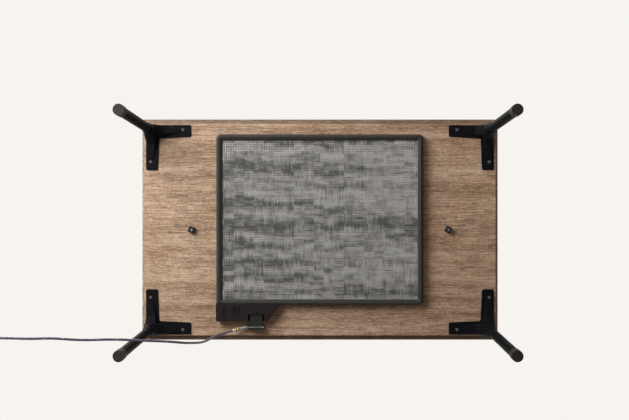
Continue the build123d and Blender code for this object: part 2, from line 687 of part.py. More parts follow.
def terminal_box():
    """The cover over the inlet, open to the board, with vents and the bay that takes the plug."""
    cover = extrude(Pos(0, 0, HEATER_UNDER) * make_face(box_outline(0)), HEATER_THICK)
    cover = fillet(cover.faces().sort_by(Axis.Z)[0].edges(), BOX_EASE)
    inside = extrude(Pos(0, 0, HEATER_UNDER + BOX_WALL) * make_face(box_outline(BOX_WALL)), HEATER_THICK)
    bay_low = (BAY_X - BAY_WIDTH / 2, BOX_FRONT - 1, HEATER_UNDER - 1)
    bay_high = (BAY_X + BAY_WIDTH / 2, BAY_BACK, BASE_UNDER - BOX_WALL)
    bay = box_between(bay_low, bay_high)
    walls = box_between(
        (bay_low[0] - BOX_WALL, BOX_FRONT, HEATER_UNDER + BOX_WALL),
        (bay_high[0] + BOX_WALL, BAY_BACK + BOX_WALL, BASE_UNDER),
    )
    cover = cover - (inside - walls) - bay
    nose = box_between(
        (BAY_X - PIN_SPACING, BAY_BACK - 1, PLUG_Z - 2.5 * PIN_RADIUS),
        (BAY_X + PIN_SPACING, BAY_BACK + BOX_WALL + 1, PLUG_Z + 2.5 * PIN_RADIUS),
    )
    cover = cover - nose - bezel_envelope(-SEAT)
    for first, count, length in (
        (VENTS_LONG_IN, 2, VENT_LENGTH_LONG),
        (VENTS_SHORT_IN, 4, VENT_LENGTH_SHORT),
    ):
        for i in range(count):
            x = HEATER_RIGHT - first - i * VENT_PITCH
            y = HEATER_FRONT - VENT_FROM_BEZEL - length / 2
            slot = SlotOverall(length, VENT_WIDTH, rotation=90)
            cover -= Pos(x, y, HEATER_UNDER - 1) * extrude(slot, BOX_WALL + 2)
    return cover


def inlet():
    """The inlet socket behind the bay and the two pins that reach into the plug."""
    back = BAY_BACK + BOX_WALL
    low = (BAY_X - INLET_WIDTH / 2, back, HEATER_UNDER + BOX_WALL)
    block = box_between(low, (BAY_X + INLET_WIDTH / 2, back + INLET_LENGTH, BASE_UNDER))
    nose = box_between(
        (BAY_X - PIN_SPACING + CLEAR, BAY_BACK, PLUG_Z - 2.5 * PIN_RADIUS + CLEAR),
        (BAY_X + PIN_SPACING - CLEAR, back, PLUG_Z + 2.5 * PIN_RADIUS - CLEAR),
    )
    socket, pins = block + nose, []
    for side in (-1, 1):
        x = BAY_X + side * PIN_SPACING / 2
        start, tip = (x, back + INLET_LENGTH / 2, PLUG_Z), (x, BAY_BACK - PIN_LENGTH, PLUG_Z)
        pins.append(rod(PIN_RADIUS, start, tip))
        socket -= rod(PIN_RADIUS + SEAT, start, tip)
    write("inlet_socket", socket - bezel_envelope(-CLEAR))
    write("inlet_pins", group(pins))


def heater_plug():
    """The angled plug: a neck that fills the bay's middle, a wider grip and the boss for the cord."""
    face = BAY_BACK - CLEAR
    grip_back = BOX_FRONT - PLUG_GRIP_FROM_BOX
    neck = box_between(
        (BAY_X - BAY_WIDTH / 2 + BAY_NOTCH, grip_back - PLUG_NECK_OVERLAP, PLUG_Z - PLUG_THICK / 2),
        (BAY_X + BAY_WIDTH / 2 - BAY_NOTCH, face, PLUG_Z + PLUG_THICK / 2),
    )
    neck = chamfer(neck.faces().sort_by(Axis.Y)[-1].edges(), PLUG_EASE)
    grip = box_between(
        (BAY_X - BAY_WIDTH / 2, grip_back - PLUG_GRIP_LENGTH, PLUG_Z - PLUG_GRIP_THICK / 2),
        (BAY_X + BAY_WIDTH / 2, grip_back, PLUG_Z + PLUG_GRIP_THICK / 2),
    )
    end = grip.faces().sort_by(Axis.Y)[0]
    grip = fillet(end.edges(), PLUG_GRIP_ROUND)
    grip = fillet(grip.faces().sort_by(Axis.Y)[-1].edges(), PLUG_GRIP_EASE)
    boss = rod(BOSS_RADIUS, EXIT_POINT - EXIT_DIRECTION * BOSS_LENGTH, EXIT_POINT)
    body, contacts = grip + neck + boss, []
    outer = PIN_RADIUS + SNUG + CONTACT_WALL
    for side in (-1, 1):
        x = BAY_X + side * PIN_SPACING / 2
        start, end = (x, face, PLUG_Z), (x, face - CONTACT_LENGTH, PLUG_Z)
        body -= rod(outer + SEAT, start, end)
        contacts.append(rod(outer, start, end) - rod(PIN_RADIUS + SNUG, start, end))
    write("heater_plug_body", body)
    write("heater_plug_contacts", group(contacts))
    relief = tapered_rod(RELIEF_BASE_RADIUS, CORD_RADIUS + RELIEF_LIP, EXIT_POINT, CORD_START)
    write("heater_plug_relief", relief)
    sleeve_start = CORD_START + EXIT_DIRECTION * CLEAR
    sleeve_end = sleeve_start + EXIT_DIRECTION * SLEEVE_LENGTH
    sleeve = rod(SLEEVE_RADIUS, sleeve_start, sleeve_end)
    write("cord_sleeve", sleeve - rod(CORD_RADIUS + SEAT, sleeve_start, sleeve_end))


# ---- cords ----
def rounded_path(points):
    """Straight runs joined by arcs, each as large as its two runs allow, and the arcs' radii."""
    radii = []
    for before, here, after in zip(points, points[1:], points[2:]):
        one, two = here - before, after - here
        half_turn = math.radians(one.get_angle(two)) / 2
        radii.append(BEND_SHARE * min(one.length, two.length) / math.tan(half_turn))
    return (FilletPolyline(*points, radius=radii) if radii else Line(*points)), radii


def tube(path, radius):
    """A round cord or wire along a path."""
    section = Plane(origin=path @ 0, z_dir=path % 0) * Circle(radius)
    return sweep(section, path=path)


def cord_tube(points):
    """A cord along the rounded path through its points, with its radii and volume printed."""
    path, radii = rounded_path(points)
    cord = tube(path, CORD_RADIUS)
    share = cord.volume / (math.pi * CORD_RADIUS**2 * path.length)
    print("bend radii", [round(r) for r in radii], "length", round(path.length, 1),
          "volume share", round(share, 4))
    return cord


def supply_cord():
    """The cord from the controller into its coil, the coil, its tie and the tail to the plug."""
    entry = Vector(COIL_ENTRY_X, SUPPLY_START.Y, SUPPLY_START.Z)
    write("supply_cord_run", cord_tube([SUPPLY_START, entry]))
    section = Pos(COIL_RADIUS, COIL_LIFT + COIL_BUNDLE / 2) * RectangleRounded(
        COIL_BUNDLE, COIL_BUNDLE, COIL_BUNDLE / 4
    )
    coil = revolve(Plane.XZ * section, Axis.Z)
    write("supply_cord_coil", Pos(COIL_X, COIL_Y) * coil)
    outer, height = COIL_BUNDLE + 2 * TIE_THICK, COIL_LIFT + COIL_BUNDLE + TIE_THICK
    band = box_between((-TIE_WIDTH / 2, -outer / 2, 0), (TIE_WIDTH / 2, outer / 2, height))
    band = fillet(band.edges().filter_by(Axis.X), COIL_BUNDLE / 4)
    tie = Pos(COIL_X + COIL_RADIUS, COIL_Y) * Rot(0, 0, 90) * band - Pos(COIL_X, COIL_Y) * coil
    write("coil_tie", group([max(tie.solids(), key=lambda solid: solid.volume)]))
    tail = [Vector(COIL_ENTRY_X, TAIL_Y, SUPPLY_START.Z), Vector(WALL_PLUG_X, TAIL_Y, SUPPLY_START.Z)]
    write("supply_cord_tail", cord_tube(tail))


def controller_case():
    """The controller's two halves with their screw posts, and the screws."""
    case = slab(CONTROL_LENGTH, CONTROL_WIDTH, 0, CONTROL_HEIGHT, CONTROL_CORNER, CASE_MIDDLE)
    case = fillet(case.faces().sort_by(Axis.Z)[-1].edges(), CONTROL_EASE)
    case = fillet(case.faces().sort_by(Axis.Z)[0].edges(), CONTROL_EASE / 2)
    wall = CONTROL_WALL
    room = slab(CONTROL_LENGTH - 2 * wall, CONTROL_WIDTH - 2 * wall, wall, CONTROL_HEIGHT - wall,
                CONTROL_CORNER - wall, CASE_MIDDLE)
    upper = slab(2 * CONTROL_LENGTH, 2 * CONTROL_WIDTH, CASE_SPLIT, 2 * CONTROL_HEIGHT, CONTROL_CORNER,
                 CASE_MIDDLE)
    shell = case - room
    top, bottom, screws = shell & upper, shell - upper, []
    length = CASE_SPLIT + CONTROL_SCREW_GRIP - wall - SMALL_SCREW_HEAD
    for side in (-1, 1):
        x = CASE_X + side * (CONTROL_LENGTH / 2 - CONTROL_SCREW_IN)
        y = CONTROL_START.Y + side * (CONTROL_WIDTH / 2 - CONTROL_SCREW_IN)
        post = Cylinder(CONTROL_POST_RADIUS, CASE_SPLIT - wall, align=LOW)
        bottom += Pos(x, y, wall) * post
        bottom -= Pos(x, y) * Cylinder(SMALL_SCREW_RADIUS + CLEAR, CASE_SPLIT, align=LOW)
        bottom -= Pos(x, y) * Cylinder(SMALL_SCREW_HEAD_RADIUS + CLEAR, wall + SMALL_SCREW_HEAD, align=LOW)
        top += Pos(x, y, CASE_SPLIT) * post
        top -= Pos(x, y, CASE_SPLIT) * Cylinder(SMALL_SCREW_RADIUS + SNUG, CONTROL_SCREW_GRIP, align=LOW)
        screw = pan_head_screw(SMALL_SCREW_RADIUS, length, SMALL_SCREW_HEAD_RADIUS, SMALL_SCREW_HEAD)
        screws.append(Pos(x, y, wall + SMALL_SCREW_HEAD) * screw)
    seat = Cylinder(DIAL_RADIUS + wall, DIAL_SINK + wall, align=LOW)
    top += (Pos(*DIAL_AT, CONTROL_HEIGHT - DIAL_SINK - wall) * seat) & case
    top -= Pos(*DIAL_AT, CONTROL_HEIGHT - DIAL_SINK) * Cylinder(DIAL_RADIUS + CLEAR, DIAL_HEIGHT, align=LOW)
    top -= Pos(*DIAL_AT, CASE_SPLIT) * Cylinder(DIAL_STEM_RADIUS + SNUG, CONTROL_HEIGHT, align=LOW)
    slot = Box(SWITCH_LENGTH + SWITCH_TRAVEL + 2 * CLEAR, SWITCH_WIDTH + 2 * CLEAR, 4 * wall)
    top -= Pos(*SWITCH_AT, CONTROL_HEIGHT) * slot
    top -= Pos(*LAMP_AT, CASE_SPLIT) * Cylinder(LAMP_RADIUS, CONTROL_HEIGHT, align=LOW)
    write("controller_case_top", top)
    write("controller_case_base", bottom)
    write("controller_screws", group(screws))


def temperature_dial():
    """The fluted dial, with a pointer groove on its face and its stem down into the case."""
    low = CONTROL_HEIGHT - DIAL_SINK + CLEAR
    dial = Pos(0, 0, low) * Cylinder(DIAL_RADIUS, DIAL_HEIGHT, align=LOW)
    dial = chamfer(dial.faces().sort_by(Axis.Z)[-1].edges(), DIAL_EASE)
    flute = Pos(DIAL_RADIUS + FLUTE_RADIUS / 3, 0, CONTROL_HEIGHT) * Cylinder(
        FLUTE_RADIUS, DIAL_HEIGHT, align=LOW)
    dial -= [Rot(0, 0, 360 / DIAL_FLUTES * i) * flute for i in range(DIAL_FLUTES)]
    dial -= Pos(-DIAL_RADIUS / 2, 0, low + DIAL_HEIGHT) * Box(DIAL_RADIUS * 0.7, POINTER_WIDTH, POINTER_WIDTH)
    stem_low = CONTROL_START.Z + BOARD_ABOVE_CORD + BOARD_THICK + CLEAR
    dial += Pos(0, 0, stem_low) * Cylinder(DIAL_STEM_RADIUS, low - stem_low, align=LOW)
    write("temperature_dial", Pos(*DIAL_AT) * dial)


def power_switch():
    """The grooved slider of the power switch, at the off end of its slot."""
    low, high = CONTROL_HEIGHT - CONTROL_WALL, CONTROL_HEIGHT + SWITCH_PROUD
    slider = Pos(0, 0, low) * Box(SWITCH_LENGTH, SWITCH_WIDTH, high - low, align=LOW)
    slider = chamfer(slider.faces().sort_by(Axis.Z)[-1].edges(), SWITCH_GROOVE)
    groove = Pos(0, 0, high) * Box(SWITCH_GROOVE, 2 * SWITCH_WIDTH, SWITCH_GROOVE)
    slider -= [Pos(i * SWITCH_LENGTH / 5, 0) * groove for i in (-1, 0, 1)]
    write("power_switch", Pos(SWITCH_AT[0] - SWITCH_TRAVEL / 2, SWITCH_AT[1]) * slider)


def hand_controller():
    """The in-line controller: its case, bushes, board, dial, switch and lamp."""
    controller_case()
    temperature_dial()
    power_switch()
    bushes = []
    for inner, outer in ((CASE_LEFT, CONTROL_START.X), (CASE_RIGHT, SUPPLY_START.X)):
        y, z = CONTROL_START.Y, CONTROL_START.Z
        bushes.append(tapered_rod(BUSH_RADIUS, CORD_RADIUS + RELIEF_LIP, (inner, y, z), (outer, y, z)))
    write("controller_bushes", group(bushes))
    low = (CASE_LEFT + BOARD_FROM_END, CONTROL_START.Y - BOARD_WIDTH / 2, CONTROL_START.Z + BOARD_ABOVE_CORD)
    high = (CASE_RIGHT - BOARD_FROM_END, CONTROL_START.Y + BOARD_WIDTH / 2, low[2] + BOARD_THICK)
    write("controller_board", box_between(low, high))
    lens = Pos(*LAMP_AT, CONTROL_HEIGHT - CONTROL_WALL) * Cylinder(
        LAMP_RADIUS - SEAT, CONTROL_WALL + LAMP_PROUD, align=LOW)
    write("controller_lamp", fillet(lens.edges().sort_by(Axis.Z)[-1], LAMP_PROUD * 0.8))


def wall_plug():
    """The two-bladed wall plug at the end of the supply cord, lying on the floor by its coil."""
    z = SUPPLY_START.Z
    relief_end = WALL_PLUG_X - RELIEF_LENGTH
    relief = tapered_rod(
        CORD_RADIUS + RELIEF_LIP, BOSS_RADIUS, (WALL_PLUG_X, TAIL_Y, z), (relief_end, TAIL_Y, z)
    )
    face = relief_end - WALL_PLUG_LENGTH
    body = box_between(
        (face, TAIL_Y - WALL_PLUG_WIDTH / 2, z - WALL_PLUG_THICK / 2),
        (relief_end, TAIL_Y + WALL_PLUG_WIDTH / 2, z + WALL_PLUG_THICK / 2),
    )
    body = fillet(body.edges().filter_by(Axis.X), WALL_PLUG_THICK / 4)
    body = fillet(body.faces().sort_by(Axis.X)[-1].edges(), WALL_PLUG_THICK / 6)
    blades = []
    for side in (-1, 1):
        y = TAIL_Y + side * BLADE_SPACING / 2
        blade = box_between(
            (face - BLADE_LENGTH, y - BLADE_THICK / 2, z - BLADE_WIDTH / 2),
            (face, y + BLADE_THICK / 2, z + BLADE_WIDTH / 2),
        )
        hole = Rot(90, 0, 0) * Cylinder(BLADE_HOLE_RADIUS, 2 * BLADE_THICK)
        blades.append(blade - Pos(face - BLADE_LENGTH + BLADE_HOLE_FROM_TIP, y, z) * hole)
    write("wall_plug_body", body + relief)
    write("wall_plug_blades", group(blades))


tabletop()
base()
legs()
knob("right", KNOB_X, KNOB_TURN_RIGHT)
knob("left", -KNOB_X, KNOB_TURN_LEFT)
heater()
write("terminal_box", terminal_box())
inlet()
heater_plug()
write("heater_cord", cord_tube(HEATER_CORD_POINTS))
supply_cord()
hand_controller()
wall_plug()
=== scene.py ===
"""Looks of a low heated table: finishes, woven guard, braided mains lead, camera and light.

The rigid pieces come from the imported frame, which stands on its four feet with +Z up and the
heater's plug on the -Y side. Lengths are in metres.
"""

from __future__ import annotations

import json
import logging
import math
from abc import ABC, abstractmethod
from dataclasses import dataclass, field
from enum import Enum
from typing import ClassVar

import bpy
import numpy as np
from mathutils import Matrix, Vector

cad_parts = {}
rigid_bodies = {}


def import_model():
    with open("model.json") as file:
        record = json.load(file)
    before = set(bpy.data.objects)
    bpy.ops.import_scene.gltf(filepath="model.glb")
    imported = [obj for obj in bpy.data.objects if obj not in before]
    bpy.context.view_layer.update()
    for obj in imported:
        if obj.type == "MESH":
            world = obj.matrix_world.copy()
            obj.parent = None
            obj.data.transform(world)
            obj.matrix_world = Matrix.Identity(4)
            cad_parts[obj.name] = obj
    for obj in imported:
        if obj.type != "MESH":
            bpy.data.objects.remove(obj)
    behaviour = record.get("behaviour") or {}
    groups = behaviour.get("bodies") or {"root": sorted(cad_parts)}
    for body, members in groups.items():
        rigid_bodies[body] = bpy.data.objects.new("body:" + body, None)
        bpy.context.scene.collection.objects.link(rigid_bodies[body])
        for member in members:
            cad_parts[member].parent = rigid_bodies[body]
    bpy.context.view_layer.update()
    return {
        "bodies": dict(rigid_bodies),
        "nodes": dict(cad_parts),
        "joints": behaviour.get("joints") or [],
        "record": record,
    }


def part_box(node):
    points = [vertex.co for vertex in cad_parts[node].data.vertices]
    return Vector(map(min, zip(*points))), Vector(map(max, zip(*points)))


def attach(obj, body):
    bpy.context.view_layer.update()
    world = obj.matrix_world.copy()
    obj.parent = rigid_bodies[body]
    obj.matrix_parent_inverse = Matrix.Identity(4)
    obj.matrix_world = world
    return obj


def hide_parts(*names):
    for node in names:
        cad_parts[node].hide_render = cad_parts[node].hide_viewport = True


LOG = logging.getLogger("table")
MM = 0.001
CORNERS = ("rear_right", "rear_left", "front_right", "front_left")
YARN_PITCH = 4.8 * MM

Colour = tuple[float, float, float]
Place = tuple[float, float, float]
Array = np.ndarray


# ---- shader expressions ----
class Value:
    """One socket's value in a shader: Python arithmetic on it adds the matching Math nodes."""

    def __init__(self, graph: Graph, socket: bpy.types.NodeSocket) -> None:
        """Keeps the socket and the graph that new nodes go to."""
        self.graph = graph
        self.socket = socket

    def _math(self, operation: str, *operands: Value | float) -> Value:
        """The result of a Math node with that operation on those values, in order."""
        inputs = dict(enumerate(operands))
        return self.graph.node("ShaderNodeMath", {"operation": operation}, inputs)[0]

    def __add__(self, other: Value | float) -> Value:
        """The sum."""
        return self._math("ADD", self, other)

    __radd__ = __add__

    def __sub__(self, other: Value | float) -> Value:
        """The difference."""
        return self._math("SUBTRACT", self, other)

    def __rsub__(self, other: float) -> Value:
        """The difference, from a number."""
        return self._math("SUBTRACT", other, self)

    def __mul__(self, other: Value | float) -> Value:
        """The product."""
        return self._math("MULTIPLY", self, other)

    __rmul__ = __mul__

    def __gt__(self, other: Value | float) -> Value:
        """1 where this is the larger, otherwise 0."""
        return self._math("GREATER_THAN", self, other)

    def __lt__(self, other: Value | float) -> Value:
        """1 where this is the smaller, otherwise 0."""
        return self._math("LESS_THAN", self, other)

    def __abs__(self) -> Value:
        """The size without its sign."""
        return self._math("ABSOLUTE", self)

    def fraction(self) -> Value:
        """What is left after the whole number below."""
        return self._math("FRACT", self)

    def whole(self) -> Value:
        """The whole number below."""
        return self._math("FLOOR", self)

    def sine(self) -> Value:
        """The sine of this angle in radians."""
        return self._math("SINE", self)

    def turn_to(self, other: Value) -> Value:
        """The angle in radians of the direction that has the other value along X and this one along Y."""
        return self._math("ARCTAN2", self, other)

    def step(self, low: float, high: float) -> Value:
        """A smooth rise from 0 at low to 1 at high.

        Args:
            low: where the rise starts; it may be above high, for a fall.
            high: where it ends.

        Returns:
            The share, from 0 to 1.
        """
        settings = {"interpolation_type": "SMOOTHSTEP"}
        inputs = {"Value": self, "From Min": low, "From Max": high}
        return self.graph.node("ShaderNodeMapRange", settings, inputs)[0]


class Outputs:
    """A node's outputs, each read as a Value."""

    def __init__(self, graph: Graph, node: bpy.types.Node) -> None:
        """Keeps the node and its graph."""
        self.graph = graph
        self.made = node

    def __getitem__(self, key: int | str) -> Value:
        """The output with that place or name."""
        return Value(self.graph, self.made.outputs[key])


class Graph:
    """The node tree of one material or world."""

    def __init__(self, owner: bpy.types.Material | bpy.types.World) -> None:
        """Takes the owner's tree and empties it.

        Args:
            owner: the material or world.
        """
        owner.use_nodes = True
        self.for_world = isinstance(owner, bpy.types.World)
        self.tree = owner.node_tree
        self.tree.nodes.clear()

    def node(
        self,
        kind: str,
        settings: dict[str, object] | None = None,
        inputs: dict[int | str, object] | None = None,
    ) -> Outputs:
        """Adds a node, sets it up and fills its sockets.

        Args:
            kind: the node's type.
            settings: its properties, set first; "stops" are a ramp's places and colours.
            inputs: a value or a link for each named or numbered socket.

        Returns:
            The node's outputs.
        """
        made = self.tree.nodes.new(kind)
        for name, setting in (settings or {}).items():
            if name == "stops":
                self._set_stops(made.color_ramp, setting)
            else:
                setattr(made, name, setting)
        for key, value in (inputs or {}).items():
            if isinstance(value, Value):
                self.tree.links.new(value.socket, made.inputs[key])
            else:
                made.inputs[key].default_value = value
        return Outputs(self, made)

    @staticmethod
    def _set_stops(ramp: bpy.types.ColorRamp, stops: list[tuple[float, Colour]]) -> None:
        """Gives a ramp its stops, in order.

        Args:
            ramp: the ramp.
            stops: each stop's place and colour.
        """
        while len(ramp.elements) < len(stops):
            ramp.elements.new(1.0)
        for element, (place, colour) in zip(ramp.elements, stops):
            element.position = place
            element.color = (*colour, 1.0)

    def place(self) -> Value:
        """The point's place in the table's frame."""
        return self.node("ShaderNodeTexCoord")["Object"]

    def normal(self) -> tuple[Value, Value, Value]:
        """The three parts of the direction that the surface faces."""
        return self.split(self.node("ShaderNodeNewGeometry")["Normal"])

    def seen(self) -> Value:
        """1 for a ray that shows what it meets, straight or by gloss or glass, otherwise 0."""
        path = self.node("ShaderNodeLightPath")
        return path["Is Camera Ray"] + path["Is Glossy Ray"] + path["Is Transmission Ray"] > 0.5

    def split(self, vector: Value) -> tuple[Value, Value, Value]:
        """The three parts of a vector."""
        parts = self.node("ShaderNodeSeparateXYZ", None, {0: vector})
        return parts[0], parts[1], parts[2]

    def join(self, x: Value | float, y: Value | float, z: Value | float) -> Value:
        """The vector of three parts."""
        return self.node("ShaderNodeCombineXYZ", None, {0: x, 1: y, 2: z})[0]

    def length(self, vector: Value) -> Value:
        """The length of a vector."""
        return self.node("ShaderNodeVectorMath", {"operation": "LENGTH"}, {0: vector})["Value"]

    def along(self, vector: Value, axis: Place) -> Value:
        """The part of a vector along an axis, which is one long."""
        return self.node("ShaderNodeVectorMath", {"operation": "DOT_PRODUCT"}, {0: vector, 1: axis})["Value"]

    def noise(self, at: Value, scale: float, detail: float = 2.0, roughness: float = 0.5) -> Value:
        """Smooth noise at a place, about 0.3 to 0.7, with so many lumps per metre."""
        inputs = {"Vector": at, "Scale": scale, "Detail": detail, "Roughness": roughness}
        return self.node("ShaderNodeTexNoise", None, inputs)["Fac"]

    def grain(
        self, x: Value, y: Value | float, scales: tuple[float, float], seed: Value | float,
        detail: float = 2.0, roughness: float = 0.5,
    ) -> Value:
        """Noise with its own lumps per metre along two ways; the seed is the place along a third."""
        return self.noise(self.join(x * scales[0], y * scales[1], seed), 1.0, detail, roughness)

    def chance(self, at: Value) -> Value:
        """A number from 0 to 1 that jumps at random from one place to the next."""
        return self.node("ShaderNodeTexWhiteNoise", {"noise_dimensions": "3D"}, {"Vector": at})["Value"]

    def ramp(self, share: Value, stops: list[tuple[float, Colour]]) -> Value:
        """A colour ramp over a share."""
        return self.node("ShaderNodeValToRGB", {"stops": stops}, {"Fac": share})["Color"]

    def blend(self, share: Value | float, one: Value | Colour, two: Value | Colour) -> Value:
        """A colour between two.

        Args:
            share: 0 for the first, 1 for the second.
            one: the first colour.
            two: the second colour.

        Returns:
            The colour.
        """
        settings = {"data_type": "RGBA"}
        one, two = (c if isinstance(c, Value) else (*c, 1.0) for c in (one, two))
        return self.node("ShaderNodeMix", settings, {0: share, 6: one, 7: two})[2]

    def tint(self, colour: Value | Colour, strength: Value | float, cast: Colour = (1.0, 1.0, 1.0)) -> Value:
        """A colour made darker or lighter.

        Args:
            colour: the colour.
            strength: the factor for all channels.
            cast: a further factor for each channel.

        Returns:
            The colour.
        """
        grey = self.join(*(strength * channel for channel in cast))
        settings = {"data_type": "RGBA", "blend_type": "MULTIPLY"}
        first = colour if isinstance(colour, Value) else (*colour, 1.0)
        return self.node("ShaderNodeMix", settings, {0: 1.0, 6: first, 7: grey})[2]

    def bump(self, height: Value, distance: float, strength: float = 1.0) -> Value:
        """The surface normal of a height from 0 to 1, where 1 stands for that distance in metres."""
        inputs = {"Height": height, "Distance": distance, "Strength": strength}
        return self.node("ShaderNodeBump", None, inputs)["Normal"]

    def surface(self, shader: Value) -> None:
        """Ends the graph in its output."""
        kind = "ShaderNodeOutputWorld" if self.for_world else "ShaderNodeOutputMaterial"
        self.node(kind, None, {"Surface": shader})

    def principled(self, **sockets: object) -> None:
        """Ends the graph in a Principled shader with those sockets, named with underscores."""
        inputs = {name.replace("_", " "): value for name, value in sockets.items()}
        self.surface(self.node("ShaderNodeBsdfPrincipled", None, inputs)[0])


# ---- finishes ----
@dataclass(frozen=True)
class Finish(ABC):
    """A surface finish, made into a material once for each name."""

    made: ClassVar[dict[str, bpy.types.Material]] = {}

    @abstractmethod
    def paint(self, graph: Graph) -> None:
        """Builds the finish's shader in an empty graph."""

    def material(self, name: str) -> bpy.types.Material:
        """The material of this finish.

        Args:
            name: what to call it.

        Returns:
            The material, made at its first use.
        """
        if name not in self.made:
            self.made[name] = bpy.data.materials.new(name)
            self.paint(Graph(self.made[name]))
        return self.made[name]


@dataclass(frozen=True)
class OakPrint(Finish):
    """Grey-brown oak print: broad bands, streaks, fibres and short dark pores under a satin film.

    The grain runs along X, and along Y on the two short edges. Underneath, a board may have painted
    shade along its two long rims, deepest where the rim starts, in place of the base board's and the floor's
    shade.
    """

    dark: Colour = (0.150, 0.090, 0.050)
    middle: Colour = (0.305, 0.202, 0.131)
    light: Colour = (0.480, 0.358, 0.262)
    shade: float = 1.0
    # The last two fields place the painted shade under the long rims in Y and set the share of colour it
    # keeps.
    rim: tuple[float, float] = (1.0, 1.1)
    painted_rim_shade: float = 0.45

    def paint(self, graph: Graph) -> None:
        """Six grains drawn out along the fibres make the colour; others its sway, pores and rosy areas;
        painted shade darkens the long rims underneath.

        Args:
            graph: the empty graph to fill.
        """
        x, y, z = graph.split(graph.place())
        out_x, _, out_z = graph.normal()
        end_grain = abs(out_x) > 0.5
        along = x + (y - x) * end_grain
        across = y - y * end_grain + z
        across = across + (graph.grain(along, across, (1.3, 4.0), 0.3, 1.0) - 0.5) * 0.05
        bands = graph.grain(along, across, (2.2, 40.0), 1.7)
        streaks = graph.grain(along, across, (11.0, 300.0), 5.1, 3.0, 0.62)
        ticks = graph.grain(along, across, (46.0, 430.0), 7.7, 3.0, 0.7)
        dashes = graph.grain(along, across, (130.0, 480.0), 4.2, 2.0, 0.6)
        fibres = graph.grain(along, across, (60.0, 1100.0), 2.4, 2.0, 0.6)
        lumps = graph.grain(along, across, (24.0, 50.0), 3.3, 3.0, 0.6)
        pores = graph.grain(along, across, (90.0, 1700.0), 8.8, 1.0).step(0.60, 0.70)
        share = bands * 0.8 + streaks * 1.1 + ticks + dashes + fibres * 0.5 + lumps * 0.55 - 1.99
        colour = graph.ramp(share, [(0.18, self.dark), (0.50, self.middle), (0.82, self.light)])
        rosy = graph.grain(along, across, (7.0, 22.0), 6.1).step(0.42, 0.62)
        colour = graph.blend(rosy * 0.35, colour, graph.tint(colour, 1.0, (1.04, 0.97, 0.95)))
        # Painted shade: the undersides of the long rims are darkened, most where the rim starts next to the
        # base board.
        inner, outer = self.rim
        painted_shade_on_rim = (abs(y) > inner) * (out_z < -0.5) * (1.0 - abs(y).step(inner, outer) * 0.2)
        strength = (1.0 - pores * 0.25) * (1.0 - painted_shade_on_rim * (1.0 - self.painted_rim_shade)) * self.shade
        height = fibres * 0.5 + ticks * 0.5 + streaks * 0.5 - pores * 0.7
        graph.principled(
            Base_Color=graph.tint(colour, strength),
            Roughness=0.56 - streaks * 0.12 + pores * 0.1,
            Normal=graph.bump(height, 0.25 * MM, 0.5),
            Specular_IOR_Level=0.35,
        )


@dataclass(frozen=True)
class PowderCoat(Finish):
    """Powder-coated steel: nearly black, with the fine pebbled skin of baked powder."""

    colour: Colour = (0.0045, 0.0045, 0.0058)
    lumps: float = 950.0

    def paint(self, graph: Graph) -> None:
        """Two sizes of noise give the pebbles, and the larger one varies the gloss.

        Args:
            graph: the empty graph to fill.
        """
        at = graph.place()
        pebbles = graph.noise(at, self.lumps, 2.0, 0.6)
        flow = graph.noise(at, self.lumps / 12, 2.0)
        graph.principled(
            Base_Color=graph.tint(self.colour, flow * 0.8 + 0.6),
            Roughness=0.44 + flow * 0.22,
            Normal=graph.bump(pebbles, 0.10 * MM, 0.55),
            Specular_IOR_Level=0.04,
        )


@dataclass(frozen=True)
class MouldedPlastic(Finish):
    """Spark-textured moulded plastic with a few paler rubbed patches."""

    colour: Colour
    roughness: float = 0.52
    texture: float = 1400.0
    relief: float = 0.06 * MM
    gloss: float = 0.22

    def paint(self, graph: Graph) -> None:
        """Fine noise gives the mould's texture, and slow noise its cloudiness.

        Args:
            graph: the empty graph to fill.
        """
        at = graph.place()
        grain = graph.noise(at, self.texture, 2.0, 0.7)
        cloud = graph.noise(at, 28.0, 3.0)
        rubbed = graph.noise(at, 90.0, 4.0, 0.7).step(0.58, 0.74)
        bare = graph.tint(self.colour, cloud * 0.5 + grain * 0.3 + 0.62 + rubbed * 0.12)
        graph.principled(
            Base_Color=self.over(graph, bare),
            Roughness=self.roughness + cloud * 0.12 - rubbed * 0.06,
            Normal=graph.bump(grain, self.relief, 0.7),
            Specular_IOR_Level=self.gloss,
        )

    def over(self, graph: Graph, bare: Value) -> Value:
        """The colour with what is printed or painted on it, which is nothing on a plain moulding."""
        return bare


@dataclass(frozen=True)
class HighlightedPlug(MouldedPlastic):
    """The heater's plug: a painted highlight lies in a line across its grip, where its rounded back edge
    would catch the light.
    """

    # The painted highlight's colour, its place along Y and its half width.
    pale: Colour = (0.30, 0.34, 0.33)
    line_at: float = -270.0 * MM
    line_half: float = 0.7 * MM

    def over(self, graph: Graph, bare: Value) -> Value:
        """A painted highlight: a line along X on the side that faces down, a little uneven.

        Args:
            graph: the graph to add to.
            bare: the moulding's own colour.

        Returns:
            The colour with the painted highlight on it.
        """
        at = graph.place()
        _, y, _ = graph.split(at)
        _, _, out_z = graph.normal()
        # Painted highlight: a pale line across the grip, broken up a little by noise.
        painted_highlight = abs(y - self.line_at).step(self.line_half * 1.4, self.line_half * 0.6)
        patchy = graph.noise(at, 220.0, 2.0).step(0.25, 0.50)
        return graph.blend(painted_highlight * (out_z < -0.3) * patchy, bare, self.pale)


